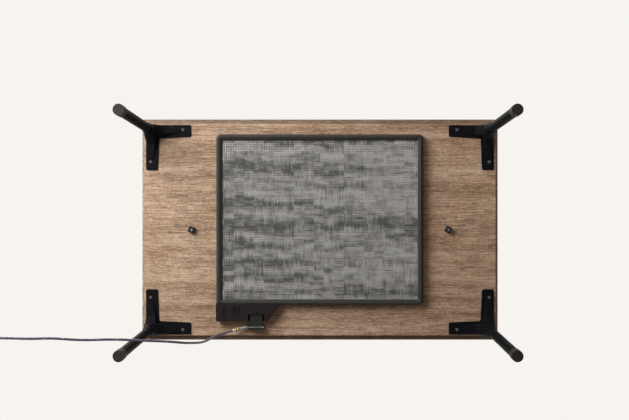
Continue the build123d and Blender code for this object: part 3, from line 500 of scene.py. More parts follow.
@dataclass(frozen=True)
class DialPrint(MouldedPlastic):
    """Plastic with short printed strokes that point at a middle, as round a dial or on it."""

    ink: Colour = (0.55, 0.55, 0.53)
    middle: tuple[float, float] = (830.4 * MM, -253 * MM)
    inner: float = 15.4 * MM
    outer: float = 18.4 * MM
    strokes: int = 12
    width: float = 0.9 * MM
    gap: float = 0.10
    gap_turn: float = -0.375

    def over(self, graph: Graph, bare: Value) -> Value:
        """A stroke lies where the angle, counted in strokes from -X, is near a whole number.

        The strokes leave out a gap round a direction: its half width and its angle from +X are
        shares of a turn. The dial points at -X when it is off and turns clockwise for 270 degrees.

        Args:
            graph: the graph to add to.
            bare: the moulding's own colour.

        Returns:
            The colour with the strokes on it.
        """
        x, y, _ = graph.split(graph.place())
        across, up = x - self.middle[0], y - self.middle[1]
        turn = up.turn_to(across) * (1 / (2 * math.pi))
        away = graph.length(graph.join(across, up, 0.0))
        off = abs((turn * float(self.strokes) + 0.5 * self.strokes + 0.5).fraction() - 0.5) * away
        on_stroke = off < self.width * self.strokes / (4 * math.pi)
        from_gap = abs((turn - self.gap_turn + 0.5).fraction() - 0.5)
        in_ring = (away > self.inner) * (away < self.outer) * (from_gap > self.gap)
        _, _, out_z = graph.normal()
        return graph.blend(on_stroke * in_ring * (out_z > 0.7), bare, self.ink)


@dataclass(frozen=True)
class Rubber(Finish):
    """Matt rubber with dusty, mottled patches."""

    colour: Colour = (0.024, 0.022, 0.017)

    def paint(self, graph: Graph) -> None:
        """Slow noise lifts the colour where dust sits, fine noise roughens the skin.

        Args:
            graph: the empty graph to fill.
        """
        at = graph.place()
        dust = graph.noise(at, 160.0, 4.0, 0.65).step(0.44, 0.72)
        skin = graph.noise(at, 1100.0, 2.0)
        graph.principled(
            Base_Color=graph.tint(self.colour, dust * 0.9 + 0.8),
            Roughness=0.72 + dust * 0.18,
            Normal=graph.bump(skin, 0.12 * MM, 0.6),
            Specular_IOR_Level=0.25,
        )


@dataclass(frozen=True)
class PlatedMetal(Finish):
    """Plated metal with fine scratches and slightly uneven gloss."""

    colour: Colour = (0.62, 0.61, 0.58)
    roughness: float = 0.30

    def paint(self, graph: Graph) -> None:
        """Noise drawn out along X and Y makes crossing scratches.

        Args:
            graph: the empty graph to fill.
        """
        at = graph.place()
        x, y, z = graph.split(at)
        one = graph.grain(x, y, (300.0, 4200.0), z * 4200.0)
        two = graph.grain(x, y, (4200.0, 300.0), z * 4200.0)
        stain = graph.noise(at, 240.0, 3.0)
        graph.principled(
            Base_Color=graph.tint(self.colour, stain * 0.4 + 0.8),
            Metallic=1.0,
            Roughness=self.roughness + stain * 0.22,
            Normal=graph.bump(one + two, 0.03 * MM, 0.5),
        )


@dataclass(frozen=True)
class GuardYarn(Finish):
    """Coated glass yarn of the heater's guard: grey, each stretch a little lighter or darker."""

    dark: Colour = (0.075, 0.076, 0.072)
    light: Colour = (0.400, 0.400, 0.382)
    pitch: float = YARN_PITCH

    def paint(self, graph: Graph) -> None:
        """Bands along X that shift in steps, and blocks with their own rows or columns of yarn.

        Args:
            graph: the empty graph to fill.
        """
        x, y, z = graph.split(graph.place())
        block_x, block_y = (x * 36.0 + 0.4).whole(), (y * 41.0 + 0.3).whole()
        rows = graph.chance(graph.join(block_x, (y * (1 / self.pitch)).whole(), 0.0))
        columns = graph.chance(graph.join((x * (1 / self.pitch)).whole(), block_y, 5.0))
        shifted = y + graph.grain(block_x, 0.0, (0.22, 1.0), 7.0, 1.0) * 0.10
        bands = graph.grain(block_x, shifted, (0.05, 25.0), 6.0, 1.0).step(0.36, 0.62)
        wide = graph.grain(x, y, (20.0, 62.0), 4.0, 2.0, 0.6).step(0.38, 0.62)
        tall = graph.grain(x, y, (64.0, 32.0), 9.0, 2.0, 0.6).step(0.38, 0.62)
        small = graph.chance(graph.join((x * 38.0).whole(), (y * 95.0).whole(), 2.0))
        large = graph.chance(graph.join(block_x, block_y, 3.0))
        slub = graph.grain(x, y, (330.0, 330.0), z, 1.0)
        comb = rows + (columns - rows) * (large > 0.5)
        patches = bands * 0.72 + wide * 0.34 + tall * 0.24 + small * 0.26 + large * 0.14
        share = patches * 0.84 + comb * 0.38 + slub * 0.50 - 0.66
        fibre = graph.grain(x, y, (2600.0, 2600.0), z * 2600.0, 1.0)
        graph.principled(
            Base_Color=graph.ramp(share, [(0.0, self.dark), (1.0, self.light)]),
            Roughness=0.62,
            Normal=graph.bump(fibre, 0.05 * MM, 0.5),
        )


@dataclass(frozen=True)
class BraidedCover(Finish):
    """Braided textile cord: black yarns crossed by dark violet ones, with a few pale flecks.

    Reads the cord's own UV map: U is metres along it, V turns round it.
    """

    ground: Colour = (0.012, 0.011, 0.017)
    violet: Colour = (0.075, 0.030, 0.105)
    fleck: Colour = (0.30, 0.27, 0.33)
    yarn_pitch: float = 1.5 * MM
    starts: int = 6

    def paint(self, graph: Graph) -> None:
        """Two families of helices: at each crossing a chequer says which yarn lies on top; the grooves
        between yarns get painted shade.

        Args:
            graph: the empty graph to fill.
        """
        u, v, _ = graph.split(graph.node("ShaderNodeTexCoord")["UV"])
        right = u * (1 / self.yarn_pitch / 2) + v * float(self.starts)
        left = u * (1 / self.yarn_pitch / 2) - v * float(self.starts)
        chequer = ((right.whole() + left.whole()) * 0.5).fraction() > 0.25
        crown_right = (right.fraction() * math.pi).sine()
        crown_left = (left.fraction() * math.pi).sine()
        height = crown_left + (crown_right - crown_left) * chequer
        yarn = left.whole() + (right.whole() - left.whole()) * chequer
        pick = graph.chance(graph.join((yarn * (1 / 3)).whole() * 0.37, chequer * 0.5, 0.0))
        colour = graph.blend(pick.step(0.42, 0.50), self.ground, self.violet)
        speck = graph.chance(graph.join(right.whole() * 0.31, left.whole() * 0.17, 1.0)) > 0.965
        colour = graph.blend(speck * 0.8, colour, self.fleck)
        graph.principled(
            # Painted shade: the colour darkens where the yarn's height is low, in the grooves between yarns.
            Base_Color=graph.tint(colour, height * 0.7 + 0.45),
            Roughness=0.78,
            Normal=graph.bump(height, 0.35 * MM, 0.8),
            Sheen_Weight=0.25,
        )


@dataclass(frozen=True)
class BandedSleeve(Finish):
    """Woven bands round the cord: light threads with dark ones between, along a direction."""

    axis: Place
    light: Colour
    dark: Colour
    band: float
    share: float
    collar: Colour = (0.82, 0.74, 0.52)
    collar_from: float = 1.0

    def paint(self, graph: Graph) -> None:
        """The place along the axis, divided by the band's width, says which thread is met.

        Past collar_from, in metres along the axis, the sleeve has a plain collar.

        Args:
            graph: the empty graph to fill.
        """
        at = graph.place()
        along = graph.along(at, self.axis)
        place = along * (1 / self.band) + graph.noise(at, 500.0) * 0.5
        thread = graph.noise(at, 1500.0, 1.0)
        mask = place.fraction().step(self.share - 0.08, self.share + 0.08)
        round_it = (abs(place.fraction() - 0.5)).step(0.5, 0.2)
        woven = graph.blend(mask, self.light, self.dark)
        colour = graph.blend(along > self.collar_from, woven, self.collar)
        graph.principled(
            Base_Color=graph.tint(colour, thread * 0.8 + 0.6),
            Roughness=0.6,
            Normal=graph.bump(round_it, 0.2 * MM, 0.7),
        )


@dataclass(frozen=True)
class Film(Finish):
    """Thin flat sheet with printed tracks across it, as on a film heater or a foil."""

    colour: Colour
    track: Colour
    pitch: float = 12 * MM
    metallic: float = 0.0

    def paint(self, graph: Graph) -> None:
        """Stripes along X of one width and gap, with slightly uneven ink.

        Args:
            graph: the empty graph to fill.
        """
        at = graph.place()
        _, y, _ = graph.split(at)
        stripe = abs((y * (1 / self.pitch)).fraction() - 0.5).step(0.30, 0.34)
        ink = graph.noise(at, 45.0, 3.0)
        graph.principled(
            Base_Color=graph.tint(graph.blend(stripe, self.track, self.colour), ink * 0.5 + 0.75),
            Metallic=self.metallic,
            Roughness=0.42 + ink * 0.2,
        )


@dataclass(frozen=True)
class Lens(Finish):
    """Small clear lens in a deep colour."""

    colour: Colour = (0.55, 0.03, 0.02)

    def paint(self, graph: Graph) -> None:
        """A little transmission under a smooth skin, with faint ripples.

        Args:
            graph: the empty graph to fill.
        """
        ripple = graph.noise(graph.place(), 700.0)
        graph.principled(
            Base_Color=graph.tint(self.colour, ripple * 0.4 + 0.8),
            Roughness=0.12,
            Transmission_Weight=0.5,
            Normal=graph.bump(ripple, 0.05 * MM, 0.3),
        )


EXIT_AXIS = tuple(Vector((1.0, -0.25, -0.12)).normalized())
TOP_RIM = (298 * MM, 310 * MM)
EDGE_SHADE = 0.86
CASE_COLOUR = (0.014, 0.014, 0.015)
DIAL_COLOUR = (0.20, 0.20, 0.195)
OAK = OakPrint()
# TOP_OAK and TOP_EDGE_OAK carry painted shade under the top's long rims.
TOP_OAK = OakPrint(rim=TOP_RIM)
EDGE_OAK = OakPrint(shade=EDGE_SHADE)
TOP_EDGE_OAK = OakPrint(shade=EDGE_SHADE, rim=TOP_RIM)
STEEL = PowderCoat()
CAP_RUBBER = Rubber()
ZINC = PlatedMetal()
BRASS = PlatedMetal((0.62, 0.46, 0.20), 0.25)
NICKEL = PlatedMetal((0.66, 0.63, 0.56), 0.18)
SHEET_STEEL = PlatedMetal((0.50, 0.50, 0.50), 0.35)
SCREW_HEAD = PlatedMetal((0.100, 0.100, 0.105), 0.38)
KNOB_SCREW = PlatedMetal((0.22, 0.21, 0.20), 0.42)
BEZEL = MouldedPlastic((0.026, 0.0248, 0.0230), 0.42, 1100.0, gloss=0.17)
BOX_SHELL = MouldedPlastic((0.0110, 0.0080, 0.0078), 0.45, 1100.0, gloss=0.13)
KNOB_BLACK = MouldedPlastic((0.0068, 0.0058, 0.0050), 0.48)
SOFT_BLACK = MouldedPlastic((0.010, 0.010, 0.011), 0.62, 900.0)
# The plug's skin has a painted highlight across its grip.
PLUG_BLACK = HighlightedPlug((0.0125, 0.0155, 0.0142), 0.34, 1200.0, gloss=0.16)
CONTROL_BLACK = MouldedPlastic(CASE_COLOUR, 0.45, 1300.0, gloss=0.35)
CONTROL_GREY = MouldedPlastic(DIAL_COLOUR, 0.5, 1300.0)
CONTROL_SCALE = DialPrint(CASE_COLOUR, 0.45, 1300.0, gloss=0.35)
DIAL_GREY = DialPrint(
    DIAL_COLOUR, 0.5, 1300.0, ink=(0.85, 0.84, 0.80),
    inner=2 * MM, outer=11 * MM, strokes=1, width=1.3 * MM,
)
GREEN_BOARD = MouldedPlastic((0.03, 0.10, 0.05), 0.4)
WIRE_SILICONE = MouldedPlastic((0.55, 0.55, 0.52), 0.5, 800.0)
FELT = Rubber((0.60, 0.58, 0.52))
ELEMENT_FILM = Film((0.045, 0.045, 0.045), (0.028, 0.028, 0.028))
FOIL = Film((0.75, 0.75, 0.75), (0.70, 0.70, 0.70), 60 * MM, 1.0)
YARN = GuardYarn()
BRAID = BraidedCover()
LAMP_RED = Lens()
GOLD_BANDS = BandedSleeve(
    EXIT_AXIS, (0.66, 0.43, 0.10), (0.030, 0.018, 0.014), 5.2 * MM, 0.52, collar_from=258 * MM
)
PALE_FLECKS = BandedSleeve(EXIT_AXIS, (0.50, 0.48, 0.44), (0.012, 0.012, 0.013), 6.0 * MM, 0.44)


# ---- meshes ----
def new_piece(name: str, vertices: Array, *faces: Array) -> bpy.types.Object:
    """Makes a smooth mesh object in the table's frame.

    Args:
        name: the object's name.
        vertices: one row for each point.
        faces: arrays of corner numbers, one row for each face, all of one size in an array.

    Returns:
        The object, in the scene and at the origin.
    """
    mesh = bpy.data.meshes.new(name)
    corners = np.concatenate([f.ravel() for f in faces])
    sizes = np.concatenate([np.full(len(f), f.shape[1]) for f in faces])
    mesh.vertices.add(len(vertices))
    mesh.vertices.foreach_set("co", np.asarray(vertices, np.float32).ravel())
    mesh.loops.add(len(corners))
    mesh.loops.foreach_set("vertex_index", corners.astype(np.int32))
    mesh.polygons.add(len(sizes))
    starts = np.concatenate([[0], np.cumsum(sizes)[:-1]])
    mesh.polygons.foreach_set("loop_start", starts.astype(np.int32))
    mesh.polygons.foreach_set("use_smooth", np.ones(len(sizes), bool))
    mesh.update(calc_edges=True)
    mesh.validate()
    made = bpy.data.objects.new(name, mesh)
    bpy.context.scene.collection.objects.link(made)
    return made


def ring_faces(rings: int, sides: int) -> tuple[Array, Array, Array]:
    """Faces of a closed tube made of rings.

    Args:
        rings: how many rings there are, one after the other.
        sides: points in each ring.

    Returns:
        The side faces, and the two end faces as arrays of one row.
    """
    ring, side = np.meshgrid(np.arange(rings - 1), np.arange(sides), indexing="ij")
    after = (side + 1) % sides
    quads = np.stack(
        [ring * sides + side, ring * sides + after, (ring + 1) * sides + after, (ring + 1) * sides + side], -1
    ).reshape(-1, 4)
    first = np.arange(sides)[::-1][None, :]
    last = np.arange(sides)[None, :] + (rings - 1) * sides
    return quads, first, last


def swept_rings(path: Array, radii: Array, sides: int, reference: Array) -> Array:
    """Points of round sections carried along a path.

    Each ring is the path's point plus its radius times the cosine and the sine of the angle, on
    the two axes that stand square to the path; the first axis is square to the reference too.

    Args:
        path: points of the path.
        radii: the radius at each point.
        sides: points in each ring.
        reference: a direction that the path never runs in.

    Returns:
        The points, ring after ring.
    """
    tangent = np.gradient(path, axis=0)
    tangent /= np.linalg.norm(tangent, axis=1, keepdims=True)
    one = np.cross(np.broadcast_to(reference, tangent.shape), tangent)
    one /= np.linalg.norm(one, axis=1, keepdims=True)
    two = np.cross(tangent, one)
    angle = np.linspace(0, 2 * np.pi, sides, endpoint=False)
    arms = one[:, None] * np.cos(angle)[None, :, None] + two[:, None] * np.sin(angle)[None, :, None]
    return (path[:, None] + arms * np.asarray(radii)[:, None, None]).reshape(-1, 3)


def smooth_line(name: str, points: Array, steps: int) -> Array:
    """The quadratic NURBS line that a route's points control.

    Args:
        name: a name for the curve that is used and taken away.
        points: the control points.
        steps: points read between two control points.

    Returns:
        The points of the line, in order.
    """
    curve = bpy.data.curves.new(name, "CURVE")
    curve.dimensions = "3D"
    curve.resolution_u = steps
    spline = curve.splines.new("NURBS")
    spline.points.add(len(points) - 1)
    spline.points.foreach_set("co", np.c_[points, np.ones(len(points))].ravel())
    spline.order_u = 3
    spline.use_endpoint_u = True
    holder = bpy.data.objects.new(name, curve)
    bpy.context.scene.collection.objects.link(holder)
    bpy.context.view_layer.update()
    mesh = bpy.data.meshes.new_from_object(holder)
    line = np.empty(len(mesh.vertices) * 3, np.float32)
    mesh.vertices.foreach_get("co", line)
    bpy.data.meshes.remove(mesh)
    bpy.data.objects.remove(holder)
    bpy.data.curves.remove(curve)
    return line.reshape(-1, 3).astype(float)


# ---- table ----
@dataclass
class Assembly:
    """A group of pieces that ride on one body of the frame.

    Each of its looks is a finish, the material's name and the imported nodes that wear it.
    """

    frame: dict
    body: str = "frame"
    looks: ClassVar[tuple[tuple[Finish | str, ...], ...]] = ()

    def build(self) -> None:
        """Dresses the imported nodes."""
        for finish, name, *nodes in self.looks:
            self.dress(finish, name, *nodes)

    def dress(self, finish: Finish, name: str, *nodes: str) -> None:
        """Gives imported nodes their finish.

        Args:
            finish: the finish.
            name: the material's name.
            nodes: the nodes' names.
        """
        material = finish.material(name)
        for node in nodes:
            piece = self.frame["nodes"][node]
            if not piece.material_slots:
                piece.data.materials.append(material)
            for slot in piece.material_slots:
                slot.material = material
            LOG.info("dressed %s in %s", node, name)

    def add(self, piece: bpy.types.Object, finish: Finish, name: str, slot: str) -> None:
        """Finishes a new piece and lets it ride on the assembly's body.

        Args:
            piece: the piece.
            finish: its finish.
            name: the material's name.
            slot: the record's material slot; not used.
        """
        piece.data.materials.append(finish.material(name))
        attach(piece, self.body)
        LOG.info("added %s with %d faces", piece.name, len(piece.data.polygons))


@dataclass
class Boards(Assembly):
    """The lift-off top and the base board, each with its edge band."""

    looks = (
        # The top and its edge band have painted shade under their long rims.
        (TOP_OAK, "oak_print_top_painted_shade", "tabletop_board"),
        (TOP_EDGE_OAK, "oak_edge_band_top_painted_shade", "tabletop_edge_band"),
        (OAK, "oak_print", "base_board"),
        (EDGE_OAK, "oak_edge_band", "base_edge_band"),
        (BRASS, "plain_brass", "tabletop_inserts"),
    )


@dataclass
class Legs(Assembly):
    """Brackets, tubes, caps and their fasteners.

    A bracket screw's shank is 3 mm in the bracket's plate and 11 mm in the board.
    """

    looks = (
        (STEEL, "black_powder_coat", *(f"corner_bracket_{corner}" for corner in CORNERS)),
        (STEEL, "black_powder_coat", *(f"leg_tube_{corner}" for corner in CORNERS)),
        (CAP_RUBBER, "cap_rubber", *(f"foot_cap_{corner}" for corner in CORNERS)),
        (ZINC, "zinc_plate", "leg_bolts", "leg_threaded_plugs"),
    )
    screw_places: tuple[tuple[float, float], ...] = ((383.2 * MM, 279.3 * MM), (473.0 * MM, 189.5 * MM))
    screw_seat: float = 344.0 * MM
    head_radius: float = 4.4 * MM
    head_height: float = 2.2 * MM
    shank_radius: float = 2.0 * MM
    shank_length: float = 14.0 * MM
    cross_width: float = 1.2 * MM
    cross_length: float = 5.0 * MM
    cross_depth: float = 1.3 * MM
    turn_each: float = 0.7

    def build(self) -> None:
        """Dresses the four legs and makes the brackets' screws."""
        super().build()
        screws = self.screws()
        self.add(screws, SCREW_HEAD, "blackened_screws", "zinc_steel")
        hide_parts("bracket_screws")

    def screws(self) -> bpy.types.Object:
        """The eight pan-head screws with their cross recesses, each turned a little further.

        A screw is a profile of radii and heights turned round Z. The head bulges by the fourth
        power of the radius. A point of it lies deeper by the cross's depth where it is inside
        one of the cross's two bars, with a short slope at their edges.

        Returns:
            The screws, as one piece.
        """
        sides, slope, ease = 48, 0.25 * MM, 0.05 * MM
        share = np.linspace(0.03, 1.0, 18)
        dome = -self.head_height * (1.0 - 0.08 * share**2 - 0.50 * share**4)
        tip = self.shank_length - self.shank_radius
        shank = np.array([
            (self.head_radius, -ease),
            (self.head_radius - ease, 0.0),
            (self.shank_radius + ease, 0.0),
            (self.shank_radius, ease),
            (self.shank_radius, tip),
            (0.1 * MM, self.shank_length),
        ])
        profile = np.concatenate([np.stack([share * self.head_radius, dome], -1), shank])
        angle = np.linspace(0, 2 * np.pi, sides, endpoint=False)
        x, y = (profile[:, :1] * wave(angle)[None, :] for wave in (np.cos, np.sin))
        bars = [
            np.clip((self.cross_width / 2 - np.abs(a)) / slope + 0.5, 0, 1)
            * np.clip((self.cross_length / 2 - np.abs(b)) / slope + 0.5, 0, 1)
            for a, b in ((x, y), (y, x))
        ]
        on_head = (np.arange(len(profile)) < len(share))[:, None]
        z = profile[:, 1:] + self.cross_depth * np.maximum(*bars) * on_head
        quads, first, last = ring_faces(len(profile), sides)
        points, faces = [], []
        seats = [(i * a, j * b) for a, b in self.screw_places for i in (-1, 1) for j in (-1, 1)]
        for number, (right, back) in enumerate(seats):
            cos, sin = math.cos(number * self.turn_each), math.sin(number * self.turn_each)
            turned = np.stack([x * cos - y * sin + right, x * sin + y * cos + back, z + self.screw_seat], -1)
            points.append(turned.reshape(-1, 3))
            faces.append([f + number * x.size for f in (quads, first, last)])
        joined = (np.concatenate(same) for same in zip(*faces))
        return new_piece("cross_head_screws", np.concatenate(points), *joined)


@dataclass
class Knobs(Assembly):
    """The two square knobs that hold the top, with their screws and washers."""

    looks = (
        (KNOB_BLACK, "knob_skin", "knob_right", "knob_left"),
        (KNOB_SCREW, "dull_zinc", "knob_screw_right", "knob_screw_left"),
        (SOFT_BLACK, "soft_skin", "knob_washer_right", "knob_washer_left"),
    )


class Yarns(Enum):
    """The two sets of yarns in the guard's weave."""

    LENGTHWISE = 0
    CROSSWISE = 1


@dataclass
class Heater(Assembly):
    """The flat heater: bezel, woven guard and what lies behind it."""

    looks = (
        (BEZEL, "bezel_skin", "heater_bezel"),
        (BOX_SHELL, "terminal_box_plastic", "terminal_box"),
        (SHEET_STEEL, "zinc_sheet", "heater_back_pan", "guard_clamp_frame"),
        (ELEMENT_FILM, "printed_film", "heating_element"),
        (FOIL, "foil", "heat_reflector"),
        (FELT, "glass_felt", "insulation_mat"),
        (ZINC, "zinc_plate", "pan_screws"),
        (CONTROL_BLACK, "control_plastic", "inlet_socket", "thermostat", "thermal_fuse"),
        (WIRE_SILICONE, "wire_silicone", "heater_lead_wires"),
        (BRASS, "plain_brass", "inlet_pins"),
    )
    pitch: float = YARN_PITCH
    yarn_width: float = 3.1 * MM
    yarn_thick: float = 0.5 * MM
    wave: float = 0.36 * MM
    held_edge: float = 16 * MM

    def build(self) -> None:
        """Dresses the heater's nodes and weaves the guard."""
        super().build()
        for yarns in Yarns:
            woven = self.weave(yarns)
            self.add(woven, YARN, "guard_yarn", "guard_mesh")
            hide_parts("heater_guard")

    def weave(self, yarns: Yarns) -> bpy.types.Object:
        """One set of the guard's yarns.

        A yarn's height is a cosine along it that turns over at each crossing, with the opposite
        sign on the next yarn and for the other set, and it fades out at the held edges. Its
        section is a flat rhombus.

        Args:
            yarns: which of the two sets.

        Returns:
            The yarns, as one piece.
        """
        low, high = (np.array(corner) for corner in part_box("heater_guard"))
        run, step = (0, 1) if yarns is Yarns.LENGTHWISE else (1, 0)
        middle, size = (low + high) / 2, high - low
        count = int(size[step] / self.pitch)
        crossings = int(size[run] / self.pitch)
        places = (np.arange(count) - (count - 1) / 2) * self.pitch + middle[step]
        along = np.linspace(-crossings, crossings, 2 * crossings + 1) / 2 * self.pitch
        along = np.concatenate([[-size[run] / 2], along[1:-1], [size[run] / 2]])
        parity = (np.arange(count) % 2) * 2 - 1
        phase = np.cos(np.pi * (along / self.pitch + 0.5 * ((crossings + 1) % 2)))
        side, across = (
            np.minimum(size[axis] / 2 - np.abs(at), self.held_edge) / self.held_edge
            for axis, at in ((run, along), (step, places - middle[step]))
        )
        sign = 1 if yarns is Yarns.LENGTHWISE else -1
        lift = sign * self.wave * parity[:, None] * phase[None, :] * side[None, :] * across[:, None]
        section = np.array([(-0.5, 0.0), (0.0, -0.5), (0.5, 0.0), (0.0, 0.5)])
        section = section * (self.yarn_width, self.yarn_thick)
        points = np.zeros((count, len(along), 4, 3))
        points[..., run] = (along + middle[run])[None, :, None]
        points[..., step] = places[:, None, None] + section[None, None, :, 0]
        points[..., 2] = middle[2] + lift[..., None] + section[None, None, :, 1]
        quads, first, last = ring_faces(len(along), 4)
        if yarns is Yarns.LENGTHWISE:
            quads, first, last = quads[:, ::-1], first[:, ::-1], last[:, ::-1]
        shift = (np.arange(count) * len(along) * 4)[:, None, None]
        faces = [(f[None] + shift).reshape(-1, 4) for f in (quads, first, last)]
        return new_piece(f"guard_yarns_{yarns.name.lower()}", points.reshape(-1, 3), *faces)


@dataclass
class MainsLead(Assembly):
    """The heater's plug, its braided cord, the hand controller, the coiled rest and the wall plug."""

    looks = (
        (PLUG_BLACK, "plug_skin_painted_highlight", "heater_plug_body", "wall_plug_body"),
        (BRASS, "plain_brass", "heater_plug_contacts"),
        (PALE_FLECKS, "flecked_relief", "heater_plug_relief"),
        (GOLD_BANDS, "gold_bands", "cord_sleeve"),
        (CONTROL_SCALE, "control_scale", "controller_case_top"),
        (CONTROL_BLACK, "control_plastic", "controller_case_base"),
        (GREEN_BOARD, "circuit_board", "controller_board"),
        (ZINC, "zinc_plate", "controller_screws"),
        (SOFT_BLACK, "soft_skin", "controller_bushes", "coil_tie"),
        (LAMP_RED, "red_lens", "controller_lamp"),
        (NICKEL, "nickel_blades", "wall_plug_blades"),
        (DIAL_GREY, "dial_grey", "temperature_dial"),
        (CONTROL_GREY, "control_grey", "power_switch"),
    )
    body: str = "mains_lead"
    diameter: float = 6 * MM
    heater_route: tuple[Place, ...] = (
        (0.2244, -0.2757, 0.3330), (0.2591, -0.2844, 0.3288), (0.288, -0.291, 0.296),
        (0.304, -0.295, 0.232), (0.307, -0.286, 0.152), (0.309, -0.275, 0.078),
        (0.321, -0.267, 0.024), (0.360, -0.260, 0.003), (0.420, -0.258, 0.003),
        (0.492, -0.2545, 0.003), (0.565, -0.2575, 0.003), (0.636, -0.252, 0.003),
        (0.692, -0.254, 0.003), (0.745, -0.253, 0.009), (0.783, -0.253, 0.009),
    )
    coil_inlet: tuple[Place, ...] = (
        (0.925, -0.253, 0.009), (0.937, -0.2552, 0.0062), (0.951, -0.258, 0.0041),
    )
    coil_outlet: tuple[Place, ...] = (
        (0.951, -0.1780, 0.0148), (0.937, -0.1805, 0.0115), (0.9203, -0.183, 0.009),
    )
    coil_middle: Place = (0.969, -0.218, 0.010)
    slots: tuple[tuple[int, int], ...] = (
        (1, -1), (0, -1), (-1, -1), (-1, 0), (-1, 1), (0, 1), (0, 0), (1, 0), (1, 1),
    )
    coil_radius: float = 35 * MM
    points_a_turn: int = 24
    zone: float = 45.0

    def build(self) -> None:
        """Dresses the lead's nodes and makes both cords."""
        super().build()
        self.heater_cord()
        self.supply_cord()

    def heater_cord(self) -> None:
        """The cord from the heater's plug to the hand controller."""
        line = smooth_line("heater_route", np.array(self.heater_route), 12)
        cord = self.braided("heater_lead", line, np.array((0.0, 1.0, 0.0)))
        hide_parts("heater_cord")

    def supply_cord(self) -> None:
        """The cord from the hand controller through its coil to the wall plug."""
        route = np.concatenate([self.coil_inlet, self.coil_turns(), self.coil_outlet])
        line = smooth_line("supply_route", route, 4)
        cord = self.braided("supply_lead", line, np.array((0.0, 0.0, 1.0)))
        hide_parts("supply_cord_run", "supply_cord_coil", "supply_cord_tail")

    def coil_turns(self) -> Array:
        """Control points of the coil's turns.

        The angle grows evenly. The nine places in the bundle's section are taken one after the
        other, and each change of place happens in a zone just before the last one's, so that a
        place is free when the next turn comes to it. A quadratic spline runs inside its points,
        so they stand out by one over the cosine of half their step.

        Returns:
            The points.
        """
        changes = [60.0]
        for here, middle, after in zip(*(np.array(self.slots[start:]) for start in range(3))):
            same_way = np.array_equal(middle - here, after - middle)
            changes.append(changes[-1] + 360.0 - (0.0 if same_way else self.zone))
        knots, slots = [-90.0], [self.slots[0]]
        for change, here, after in zip(changes, self.slots, self.slots[1:]):
            knots += [change - self.zone / 2, change + self.zone / 2]
            slots += [here, after]
        turns = math.ceil((changes[-1] + self.zone / 2 - 90.0) / 360.0)
        end = 90.0 + 360.0 * turns
        step = 360.0 / self.points_a_turn
        angle = np.arange(-90.0, end + step / 2, step)
        places = np.array(slots + [self.slots[-1]], float) * self.diameter
        radius = self.coil_radius + np.interp(angle, knots + [end], places[:, 0])
        height = self.coil_middle[2] + np.interp(angle, knots + [end], places[:, 1])
        radius = radius / math.cos(math.radians(step / 2))
        turn = np.radians(angle)
        x = self.coil_middle[0] + radius * np.cos(turn)
        y = self.coil_middle[1] + radius * np.sin(turn)
        return np.stack([x, y, height], -1)

    def braided(self, name: str, line: Array, reference: Array) -> bpy.types.Object:
        """A braided cord along a line, with its UV map: metres along, turns round.

        Args:
            name: the piece's name.
            line: the points of its middle.
            reference: a direction that it never runs in.

        Returns:
            The cord.
        """
        sides = 16
        rings = swept_rings(line, np.full(len(line), self.diameter / 2), sides, reference)
        quads, first, last = ring_faces(len(line), sides)
        cord = new_piece(name, rings, quads, first, last)
        length = np.concatenate([[0.0], np.cumsum(np.linalg.norm(np.diff(line, axis=0), axis=1))])
        ring, side = np.divmod(np.arange(len(quads)), sides)
        u = np.stack([length[ring], length[ring], length[ring + 1], length[ring + 1]], -1)
        v = np.stack([side, side + 1, side + 1, side], -1) / sides
        ends = np.zeros((2 * sides, 2))
        table = np.concatenate([np.stack([u, v], -1).reshape(-1, 2), ends])
        layer = cord.data.uv_layers.new(name="UVMap")
        layer.data.foreach_set("uv", table.astype(np.float32).ravel())
        self.add(cord, BRAID, "braided_cover", "braided_cord")
        LOG.info("%s is %.3f m long", name, length[-1])
        return cord


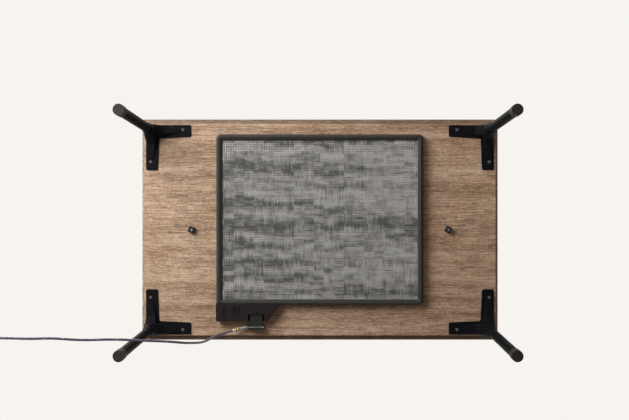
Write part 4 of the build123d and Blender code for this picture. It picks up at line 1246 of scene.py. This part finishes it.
# ---- studio ----
@dataclass
class Studio:
    """Camera, lamps, floor and backdrop.

    The table is looked at from straight below, so the floor lets through whatever comes from
    under it and every shadow ray, and shows to all other rays.
    """

    backdrop: Colour = (0.93, 0.905, 0.87)
    floor_colour: Colour = (0.86, 0.845, 0.82)
    floor_bounce: Colour = (0.36, 0.30, 0.242)
    floor_glow: float = 0.36
    ambient: float = 0.15
    camera_place: Place = (-0.0317, 0.0527, -2.041)
    lens: float = 48.85
    shift: tuple[float, float] = (-0.0267, 0.0014)
    lamps: tuple[tuple[str, Place, Place, float, float], ...] = field(
        default=(
            ("key_below", (1.15, 0.95, -0.60), (0.25, 0.05, 0.34), 1.1, 61.0),
            ("fill_below", (0.4, -0.1, -2.5), (0.1, 0.0, 0.34), 2.2, 4.0),
            ("key_above", (1.9, 2.1, 2.6), (0.0, 0.0, 0.30), 1.6, 90.0),
            ("fill_above", (-2.3, -1.9, 2.0), (0.0, 0.0, 0.25), 2.2, 45.0),
            ("fill_front", (-0.6, -2.7, 0.9), (0.1, 0.0, 0.30), 1.4, 15.0),
        )
    )

    def build(self) -> None:
        """Puts the whole studio in the scene."""
        self.camera()
        self.world()
        self.floor()
        for lamp in self.lamps:
            self.lamp(*lamp)
        bpy.context.scene.view_settings.view_transform = "Standard"

    def camera(self) -> None:
        """The camera looks straight up, with +X to the left of its picture and +Y up."""
        data = bpy.data.cameras.new("camera")
        data.lens = self.lens
        data.sensor_width = 36.0
        data.shift_x, data.shift_y = self.shift
        made = bpy.data.objects.new("camera", data)
        made.location = self.camera_place
        made.rotation_euler = (0.0, math.pi, 0.0)
        bpy.context.scene.collection.objects.link(made)
        bpy.context.scene.camera = made

    def world(self) -> None:
        """Soft light all round, and the backdrop's colour for what sees it."""
        world = bpy.data.worlds.new("World")
        bpy.context.scene.world = world
        graph = Graph(world)
        light = graph.node("ShaderNodeBackground", None, {0: (*self.backdrop, 1.0), 1: self.ambient})
        wall = graph.node("ShaderNodeBackground", None, {0: (*self.backdrop, 1.0), 1: 1.0})
        mixed = graph.node("ShaderNodeMixShader", None, {0: graph.seen(), 1: light[0], 2: wall[0]})
        graph.surface(mixed[0])

    def floor(self) -> None:
        """A wide pale sheet under the feet, which takes on the backdrop's colour far out."""
        reach, depth = 30.0, -0.4 * MM
        corners = np.array([(-1, -1), (1, -1), (1, 1), (-1, 1)]) * reach
        sheet = new_piece("floor", np.c_[corners, np.full(4, depth)], np.array([[0, 1, 2, 3]]))
        material = bpy.data.materials.new("pale_floor")
        graph = Graph(material)
        shadow = graph.node("ShaderNodeLightPath")["Is Shadow Ray"]
        under = graph.node("ShaderNodeNewGeometry")["Backfacing"]
        seen = graph.seen()
        colour = graph.blend(seen, self.floor_bounce, self.floor_colour)
        matt = graph.node("ShaderNodeBsdfDiffuse", None, {"Color": colour})
        glow = graph.node("ShaderNodeEmission", None, {"Color": (*self.backdrop, 1.0)})
        away = graph.length(graph.place())
        share = seen * (away.step(1.0, 5.0) * (1.0 - self.floor_glow) + self.floor_glow)
        sheet_look = graph.node("ShaderNodeMixShader", None, {0: share, 1: matt[0], 2: glow[0]})
        clear = graph.node("ShaderNodeBsdfTransparent")
        either = {0: shadow + under > 0.5, 1: sheet_look[0], 2: clear[0]}
        graph.surface(graph.node("ShaderNodeMixShader", None, either)[0])
        sheet.data.materials.append(material)

    @staticmethod
    def lamp(name: str, place: Place, target: Place, size: float, power: float) -> None:
        """A square soft lamp.

        Args:
            name: its name.
            place: where it hangs.
            target: where it points.
            size: its side, in metres.
            power: its power, in watts.
        """
        data = bpy.data.lights.new(name, "AREA")
        data.size = size
        data.energy = power
        made = bpy.data.objects.new(name, data)
        made.location = place
        made.rotation_euler = (Vector(target) - Vector(place)).to_track_quat("-Z", "Y").to_euler()
        made.visible_camera = False
        bpy.context.scene.collection.objects.link(made)


def main() -> None:
    """Builds the table's looks, piece by piece, and its studio."""
    logging.basicConfig(level=logging.INFO, format="%(name)s: %(message)s")
    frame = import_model()
    Studio().build()
    for assembly in (MainsLead, Boards, Legs, Knobs, Heater):
        assembly(frame).build()


if __name__ == "__main__":
    main()
